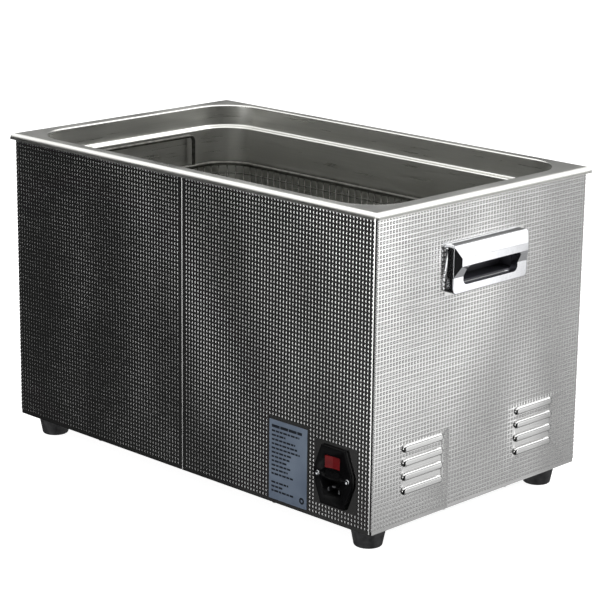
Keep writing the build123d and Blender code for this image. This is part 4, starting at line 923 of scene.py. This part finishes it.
@dataclass
class WovenBasket:
    """Square welded mesh on the basket's rim: uprights, hoops and a floor grid."""

    shop: Workshop
    pitch: float = 10.0 * MM
    wire: float = 1.6 * MM
    corner: float = 40.0 * MM
    sides: int = 6
    corner_points: int = 6
    into_rim: float = 1.5 * MM

    def ring(self, grow: GeometryTree, length: NodeSocket, width: NodeSocket, corner: NodeSocket) -> NodeSocket:
        """The basket's rounded outline as a curve."""
        outline = grow.add("GeometryNodeCurvePrimitiveQuadrilateral", None, {"Width": length, "Height": width})
        rounded = grow.add("GeometryNodeFilletCurve", {"mode": "POLY"}, {
            "Curve": outline.outputs[0], "Radius": corner, "Count": self.corner_points})
        return rounded.outputs[0]

    def build(self) -> None:
        """Weave the mesh and stand it in for the sheet panels."""
        low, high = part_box("basket_mesh")
        rim_low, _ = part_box("basket_rim")
        length, width = high.x - low.x - self.wire, high.y - low.y - self.wire
        tall = rim_low.z + self.into_rim - low.z
        grow = GeometryTree("basket_weave")
        along, across = grow.number("Length", length), grow.number("Width", width)
        corner, pitch = grow.number("Corner", self.corner), grow.number("Pitch", self.pitch)
        wire, height = grow.number("Wire radius", self.wire / 2), grow.number("Height", tall)
        ring = self.ring(grow, along, across, corner)
        profile = grow.add("GeometryNodeCurvePrimitiveCircle", {"mode": "RADIUS"}, {
            "Resolution": self.sides, "Radius": wire})

        spots = grow.add("GeometryNodeResampleCurve", {"mode": "LENGTH"}, {"Curve": ring, "Length": pitch})
        post = grow.add("GeometryNodeMeshCylinder", None, {
            "Vertices": self.sides, "Radius": wire, "Depth": height})
        raised = grow.add("GeometryNodeTransform", None, {
            "Geometry": post.outputs[0], "Translation": grow.along(2, grow.math("MULTIPLY", height, 0.5))})
        uprights = grow.add("GeometryNodeInstanceOnPoints", None, {
            "Points": spots.outputs[0], "Instance": raised.outputs[0]})

        hoop = grow.add("GeometryNodeCurveToMesh", None, {"Curve": ring, "Profile Curve": profile.outputs[0]})
        hoops = int(tall / self.pitch)
        ladder = grow.add("GeometryNodeMeshLine", {"mode": "OFFSET"}, {
            "Count": grow.number("Hoops", hoops),
            "Start Location": (0.0, 0.0, self.wire),
            "Offset": grow.along(2, pitch)})
        stack = grow.add("GeometryNodeInstanceOnPoints", None, {
            "Points": ladder.outputs[0], "Instance": hoop.outputs[0]})

        floor = [self.floor_wires(grow, along, across, corner, pitch, wire, length, width, turned)
                 for turned in (False, True)]
        joined = grow.add("GeometryNodeJoinGeometry")
        for part in (uprights.outputs[0], stack.outputs[0], *floor):
            grow.tree.links.new(part, joined.inputs[0])
        smooth = grow.add("GeometryNodeSetShadeSmooth", None, {"Geometry": joined.outputs[0]})
        steel = self.shop.get("basket_wire")
        grow.finish(smooth.outputs[0], steel)
        place = Matrix.Translation(((low.x + high.x) / 2, (low.y + high.y) / 2, low.z + self.wire / 2))
        settle(grow.make("basket_weave", steel, place), Body.BASKET, "basket_wire", "basket_mesh")

    def floor_wires(self, grow: GeometryTree, along: NodeSocket, across: NodeSocket, corner: NodeSocket,
                    pitch: NodeSocket, wire: NodeSocket, length: float, width: float, turned: bool) -> NodeSocket:
        """Lay parallel floor wires, each as long as the rounded outline allows at its place.

        Args:
            grow: The basket's tree.
            along: Its length input.
            across: Its width input.
            corner: Its corner radius input.
            pitch: Its pitch input.
            wire: Its wire radius input.
            length: The length itself, to count the wires by.
            width: The width itself.
            turned: Whether they run across instead of along.

        Returns:
            The wires.
        """
        run, spread, reach = (across, along, length) if turned else (along, across, width)
        count = int(reach / self.pitch) - 1
        start = -(count - 1) / 2 * self.pitch
        step = grow.along(0 if turned else 1, pitch)
        begin = (start, 0.0, self.wire) if turned else (0.0, start, 0.0)
        line = grow.add("GeometryNodeMeshLine", {"mode": "OFFSET"}, {
            "Count": grow.number(f"Floor wires {'across' if turned else 'along'}", count),
            "Start Location": begin, "Offset": step})
        spot = grow.split(grow.add("GeometryNodeInputPosition").outputs[0])
        away = grow.math("ABSOLUTE", spot[0 if turned else 1])
        beyond = grow.math("MAXIMUM", grow.math("SUBTRACT", away, grow.math(
            "SUBTRACT", grow.math("MULTIPLY", spread, 0.5), corner)), 0.0)
        squares = [grow.math("POWER", side, 2.0) for side in (corner, beyond)]
        left = grow.math("MAXIMUM", grow.math("SUBTRACT", *squares), 0.0)
        straight = grow.math("SUBTRACT", grow.math("MULTIPLY", run, 0.5), corner)
        half = grow.math("ADD", straight, grow.math("SQRT", left))
        rod = grow.add("GeometryNodeMeshCylinder", None, {"Vertices": self.sides, "Radius": wire, "Depth": 2.0})
        lay = grow.add("GeometryNodeTransform", None, {
            "Geometry": rod.outputs[0],
            "Rotation": (math.pi / 2, 0.0, 0.0) if turned else (0.0, math.pi / 2, 0.0)})
        size = grow.add("ShaderNodeCombineXYZ", None, {0: 1.0, 1: 1.0, 2: 1.0})
        grow.tree.links.new(half, size.inputs[1 if turned else 0])
        wires = grow.add("GeometryNodeInstanceOnPoints", None, {
            "Points": line.outputs[0], "Instance": lay.outputs[0], "Scale": size.outputs[0]})
        return wires.outputs[0]


# ------------------------------------------------------------------ controls


@dataclass
class Controls:
    """Marks on the control panel: unlit seven-bar digits, key symbols and thin frames."""

    shop: Workshop
    lift: float = 0.12 * MM
    digit: tuple[float, float, float] = (0.13, 0.66, 0.215)  # width, height and pitch, as shares of the display
    bar_thick: float = 1.3 * MM
    bar_gap: float = 0.4  # as a share of a bar's thickness
    pair_gap: float = 0.8 * MM
    dot: float = 0.7 * MM
    arm: float = 2.6 * MM
    arm_thick: float = 0.8 * MM
    wave_pitch: float = 1.7 * MM
    wave_sway: float = 0.5 * MM
    wave_half: float = 0.3 * MM
    wave_steps: int = 6

    def facing(self, node: str) -> tuple[Matrix, float, float]:
        """A space on a node's front face, with its width and height."""
        low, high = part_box(node)
        place = wall_frame(((low.x + high.x) / 2, low.y, (low.z + high.z) / 2), (1, 0, 0), (0, -1, 0))
        return place, high.x - low.x, high.z - low.z

    def bar(self, work: BMesh, x: float, y: float, length: float, thick: float, upright: bool) -> None:
        """Add one pointed bar of a digit.

        Args:
            work: The bmesh that gets it.
            x: Its middle across.
            y: Its middle up.
            length: Its length.
            thick: Its thickness.
            upright: Whether it stands instead of lying.
        """
        half, tip = length / 2, thick / 2
        shape = [(-half + tip, -tip), (half - tip, -tip), (half, 0.0),
                 (half - tip, tip), (-half + tip, tip), (-half, 0.0)]
        if upright:
            shape = [(-b, a) for a, b in shape]
        prism(work, [(x + a, y + b) for a, b in shape], 0, self.lift)

    def digits(self, node: str) -> None:
        """Four unlit digits behind a display's lens."""
        place, width, height = self.facing(node)
        digit, tall, thick = width * self.digit[0], height * self.digit[1], self.bar_thick
        short = thick * self.bar_gap

        def draw(work: BMesh) -> None:
            """Seven bars for each of four places, and the two dots between the pairs."""
            for k in range(4):
                x = (k - 1.5) * width * self.digit[2] + (self.pair_gap if k > 1 else -self.pair_gap)
                for y in (-tall / 2, 0.0, tall / 2):
                    self.bar(work, x, y, digit - short, thick, False)
                for side in (-1, 1):
                    for y in (-tall / 4, tall / 4):
                        self.bar(work, x + side * digit / 2, y, tall / 2 - short, thick, True)
            for y in (-tall / 5, tall / 5):
                turns = [math.tau * i / 8 for i in range(8)]
                prism(work, [(self.dot * math.cos(t), y + self.dot * math.sin(t)) for t in turns], 0, self.lift)

        settle(carved(f"{node}_digits", draw, place, self.shop.get("segment")), Body.CLEANER, "display_lens")

    def symbol(self, node: str, kind: str) -> None:
        """Put a pale raised symbol on a key.

        Args:
            node: The key.
            kind: plus, minus, start for a triangle, or warm for three waves.
        """
        place, _, _ = self.facing(node)
        arm, thick = self.arm, self.arm_thick

        def draw(work: BMesh) -> None:
            """The symbol's outlines."""
            if kind in ("plus", "minus"):
                side = thick / 2
                prism(work, [(-arm, -side), (arm, -side), (arm, side), (-arm, side)], 0, self.lift)
            if kind == "plus":
                for side in (-1, 1):
                    a, b = sorted((side * thick / 2, side * arm))
                    prism(work, [(-thick / 2, a), (thick / 2, a), (thick / 2, b), (-thick / 2, b)], 0, self.lift)
            if kind == "start":
                prism(work, [(-0.6 * arm, -0.8 * arm), (arm * 0.9, 0.0), (-0.6 * arm, 0.8 * arm)], 0, self.lift)
            if kind == "warm":
                half = self.wave_half
                for x in (-self.wave_pitch, 0.0, self.wave_pitch):
                    for j in range(self.wave_steps):
                        ys = [(-arm + 2 * arm * (j + e) / self.wave_steps) for e in (0, 1)]
                        xs = [x + self.wave_sway * math.sin(math.pi * y / arm * 1.2) for y in ys]
                        prism(work, [(xs[0] - half, ys[0]), (xs[0] + half, ys[0]),
                                     (xs[1] + half, ys[1]), (xs[1] - half, ys[1])], 0, self.lift)

        body = f"key_{node.removeprefix('button_')}"
        settle(carved(f"{node}_symbol", draw, place, self.shop.get("ink_pale")), body, "button_grey")

    def build(self) -> None:
        """Dress both displays and all six keys."""
        for node in ("display_time", "display_heat"):
            self.digits(node)
        kinds = {"time_down": "minus", "time_up": "plus", "start": "start", "warm": "warm",
                 "heat_down": "minus", "heat_up": "plus"}
        for key, kind in kinds.items():
            self.symbol(f"button_{key}", kind)


# ------------------------------------------------------------------ carried-over parts


@dataclass
class CadParts:
    """The CAD parts: every node gets its slot's finish, except the pull pockets, whose black plastic is painted a
    lighter grey as painted light for the light falling in through their openings; the curved ones get a smooth
    shell.
    """

    shop: Workshop
    curved: tuple[str, ...] = (
        "casing_wrap", "pull_left", "pull_right", "basket_rim", "basket_bails", "basket_feet",
        "foot_left_front", "foot_left_back", "foot_right_front", "foot_right_back", "inlet_body", "rocker_switch",
        "valve_body", "valve_ball", "valve_stem", "valve_lever", "hose_tail", "drain_fitting", "drain_pipe",
        "inlet_screws", "panel_screws", "pull_screws", "base_screws", "foot_screws", "control_panel",
        "button_time_down", "button_time_up", "button_start", "button_warm", "button_heat_down", "button_heat_up",
        "fan_frame", "fan_rotor", "transducer_horns", "transducer_ceramics", "transducer_backs",
        "transducer_bolts",
        "capacitors", "fuses", "thermostat")
    # the pull pockets get a lighter grey than their black slot: painted light for the light that falls into them
    own_finish: dict[str, str] = field(default_factory=lambda: {
        "pull_pocket_left": "pocket_plastic", "pull_pocket_right": "pocket_plastic"})

    def build(self) -> None:
        """Dress every node."""
        record = frame["record"]
        slots = {part["node"]: part["material_slot"] for part in record["subparts"]}
        homes = {node: body for body, nodes in record["behaviour"]["bodies"].items() for node in nodes}
        for node, cad in frame["nodes"].items():
            material = self.shop.get(self.own_finish.get(node, slots[node]))
            cad.data.materials.clear()
            cad.data.materials.append(material)
            if node in self.curved:
                refined(node, homes[node], slots[node], material)


# ------------------------------------------------------------------ studio


@dataclass(frozen=True)
class SoftBox:
    """A large lamp round the object, placed by angles in degrees.

    Attributes:
        azimuth: Where its middle stands.
        half_width: How far it is fully bright to each side.
        fade: How far it then takes to fade out.
        rise: The elevations between which its lower edge comes up.
        fall: The elevations between which its upper edge goes down.
        strength: Its brightness.
    """

    azimuth: float
    half_width: float
    fade: float
    rise: tuple[float, float]
    fall: tuple[float, float]
    strength: float

    def light(self, tree: NodeTree, azimuth: NodeSocket, elevation: NodeSocket) -> NodeSocket:
        """Work out its brightness along a ray.

        Args:
            tree: The world's tree.
            azimuth: The ray's azimuth in degrees.
            elevation: The ray's elevation in degrees.

        Returns:
            The brightness.
        """
        turned = math_node(tree, "WRAP", math_node(tree, "SUBTRACT", azimuth, self.azimuth), 180.0, -180.0)
        off = math_node(tree, "ABSOLUTE", turned)
        edges = ((off, self.half_width + self.fade, self.half_width), (elevation, *self.rise),
                 (elevation, self.fall[1], self.fall[0]))
        total = self.strength
        for value, dark, bright in edges:
            edge = map_range(tree, value, (dark, bright), kind="SMOOTHSTEP")
            total = math_node(tree, "MULTIPLY", edge, total)
        return total


@dataclass
class Studio:
    """Pale floor, soft surroundings and the camera."""

    floor_size: float = 30.0
    floor_glow: float = 0.95
    floor_grey: float = 0.45
    floor_roughness: float = 0.9
    camera_from_casing: tuple[float, float, float] = (-1.6131, 1.6400, 0.7963)
    camera_turn: tuple[float, float, float] = (74.971, -0.668, 224.452)
    focal_mm: float = 131.4
    sensor_mm: float = 36.0
    ambient: float = 0.02
    boxes: tuple[SoftBox, ...] = (
        SoftBox(86, 9.5, 10.5, (-28, -7), (4, 14), 6.0),  # lights the domes on the back
        SoftBox(60, 10, 7, (-40, -30), (-4, 2), 0.07),  # a dim glow on the back towards the near corner
        SoftBox(228, 26, 14, (-75, -60), (10, 22), 0.5),  # seen in the left end wall
        SoftBox(221.5, 7, 4.5, (-25, -12), (-9, -3), 2.5),  # its brighter patch towards the near top corner
        SoftBox(228, 25, 15, (13, 18), (50, 60), 1.7),  # seen in the pulls
        SoftBox(0, 180, 1, (25, 37), (90, 91), 2.1),  # overhead
        SoftBox(300, 10, 22, (2, 12), (22, 34), 0.1),  # seen in the rim's flat top
        SoftBox(320, 25, 20, (-60, -40), (-8, -2), 0.5),  # seen in the front wall from in front
    )

    def floor(self) -> None:
        """A pale matt floor."""
        mesh = bpy.data.meshes.new("floor")
        half = self.floor_size / 2
        corners = [(-half, -half, 0), (half, -half, 0), (half, half, 0), (-half, half, 0)]
        mesh.from_pydata(corners, [], [(0, 1, 2, 3)])
        material = bpy.data.materials.new("pale_studio_floor")
        material.use_nodes = True
        shader = material.node_tree.nodes["Principled BSDF"]
        shader.inputs["Base Color"].default_value = (*[self.floor_grey] * 3, 1)
        shader.inputs["Roughness"].default_value = self.floor_roughness
        shader.inputs["Emission Color"].default_value = (1, 1, 1, 1)
        shader.inputs["Emission Strength"].default_value = self.floor_glow
        mesh.materials.append(material)
        floor = new_object("floor", mesh)
        floor.visible_glossy = False

    def world(self) -> None:
        """White to the lens; to the object, a dim room with a few large soft boxes."""
        world = bpy.data.worlds.new("studio")
        bpy.context.scene.world = world
        world.use_nodes = True
        tree = world.node_tree
        tree.nodes.clear()
        ray = add_node(tree, "ShaderNodeSeparateXYZ", None, {
            0: add_node(tree, "ShaderNodeTexCoord").outputs["Generated"]}).outputs
        azimuth = math_node(tree, "DEGREES", math_node(tree, "ARCTAN2", ray[1], ray[0]))
        elevation = math_node(tree, "DEGREES", math_node(tree, "ARCSINE", ray[2]))
        total = add_node(tree, "ShaderNodeValue").outputs[0]
        total.default_value = self.ambient
        for box in self.boxes:
            total = math_node(tree, "ADD", total, box.light(tree, azimuth, elevation))
        room = add_node(tree, "ShaderNodeBackground", None, {"Strength": total})
        plain = add_node(tree, "ShaderNodeBackground", None, {"Strength": 1.0, "Color": (1, 1, 1, 1)})
        seen = add_node(tree, "ShaderNodeLightPath").outputs["Is Camera Ray"]
        mix = add_node(tree, "ShaderNodeMixShader", None, {0: seen, 1: room.outputs[0], 2: plain.outputs[0]})
        add_node(tree, "ShaderNodeOutputWorld", None, {"Surface": mix.outputs[0]})

    def camera(self) -> None:
        """The camera, set out from the middle of the base plate."""
        low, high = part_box("base_plate")
        data = bpy.data.cameras.new("camera")
        data.lens = self.focal_mm
        data.sensor_width = self.sensor_mm
        camera = bpy.data.objects.new("camera", data)
        bpy.context.scene.collection.objects.link(camera)
        offset = Vector(self.camera_from_casing)
        camera.location = Vector(((low.x + high.x) / 2, (low.y + high.y) / 2, 0)) + offset
        camera.rotation_euler = Euler([math.radians(a) for a in self.camera_turn], "XYZ")
        bpy.context.scene.camera = camera

    def build(self) -> None:
        """Set up the studio."""
        self.floor()
        self.world()
        self.camera()
        bpy.context.scene.view_settings.view_transform = "Standard"


def main() -> None:
    """Build every class in order."""
    logging.basicConfig(level=logging.INFO, format="%(message)s")
    shop = Workshop()
    CadParts(shop).build()
    TankShell(shop).build()
    Emboss(shop).build()
    Seam(shop).build()
    RatingLabel(shop).build()
    WovenBasket(shop).build()
    Controls(shop).build()
    Studio().build()


if __name__ == "__main__":
    main()
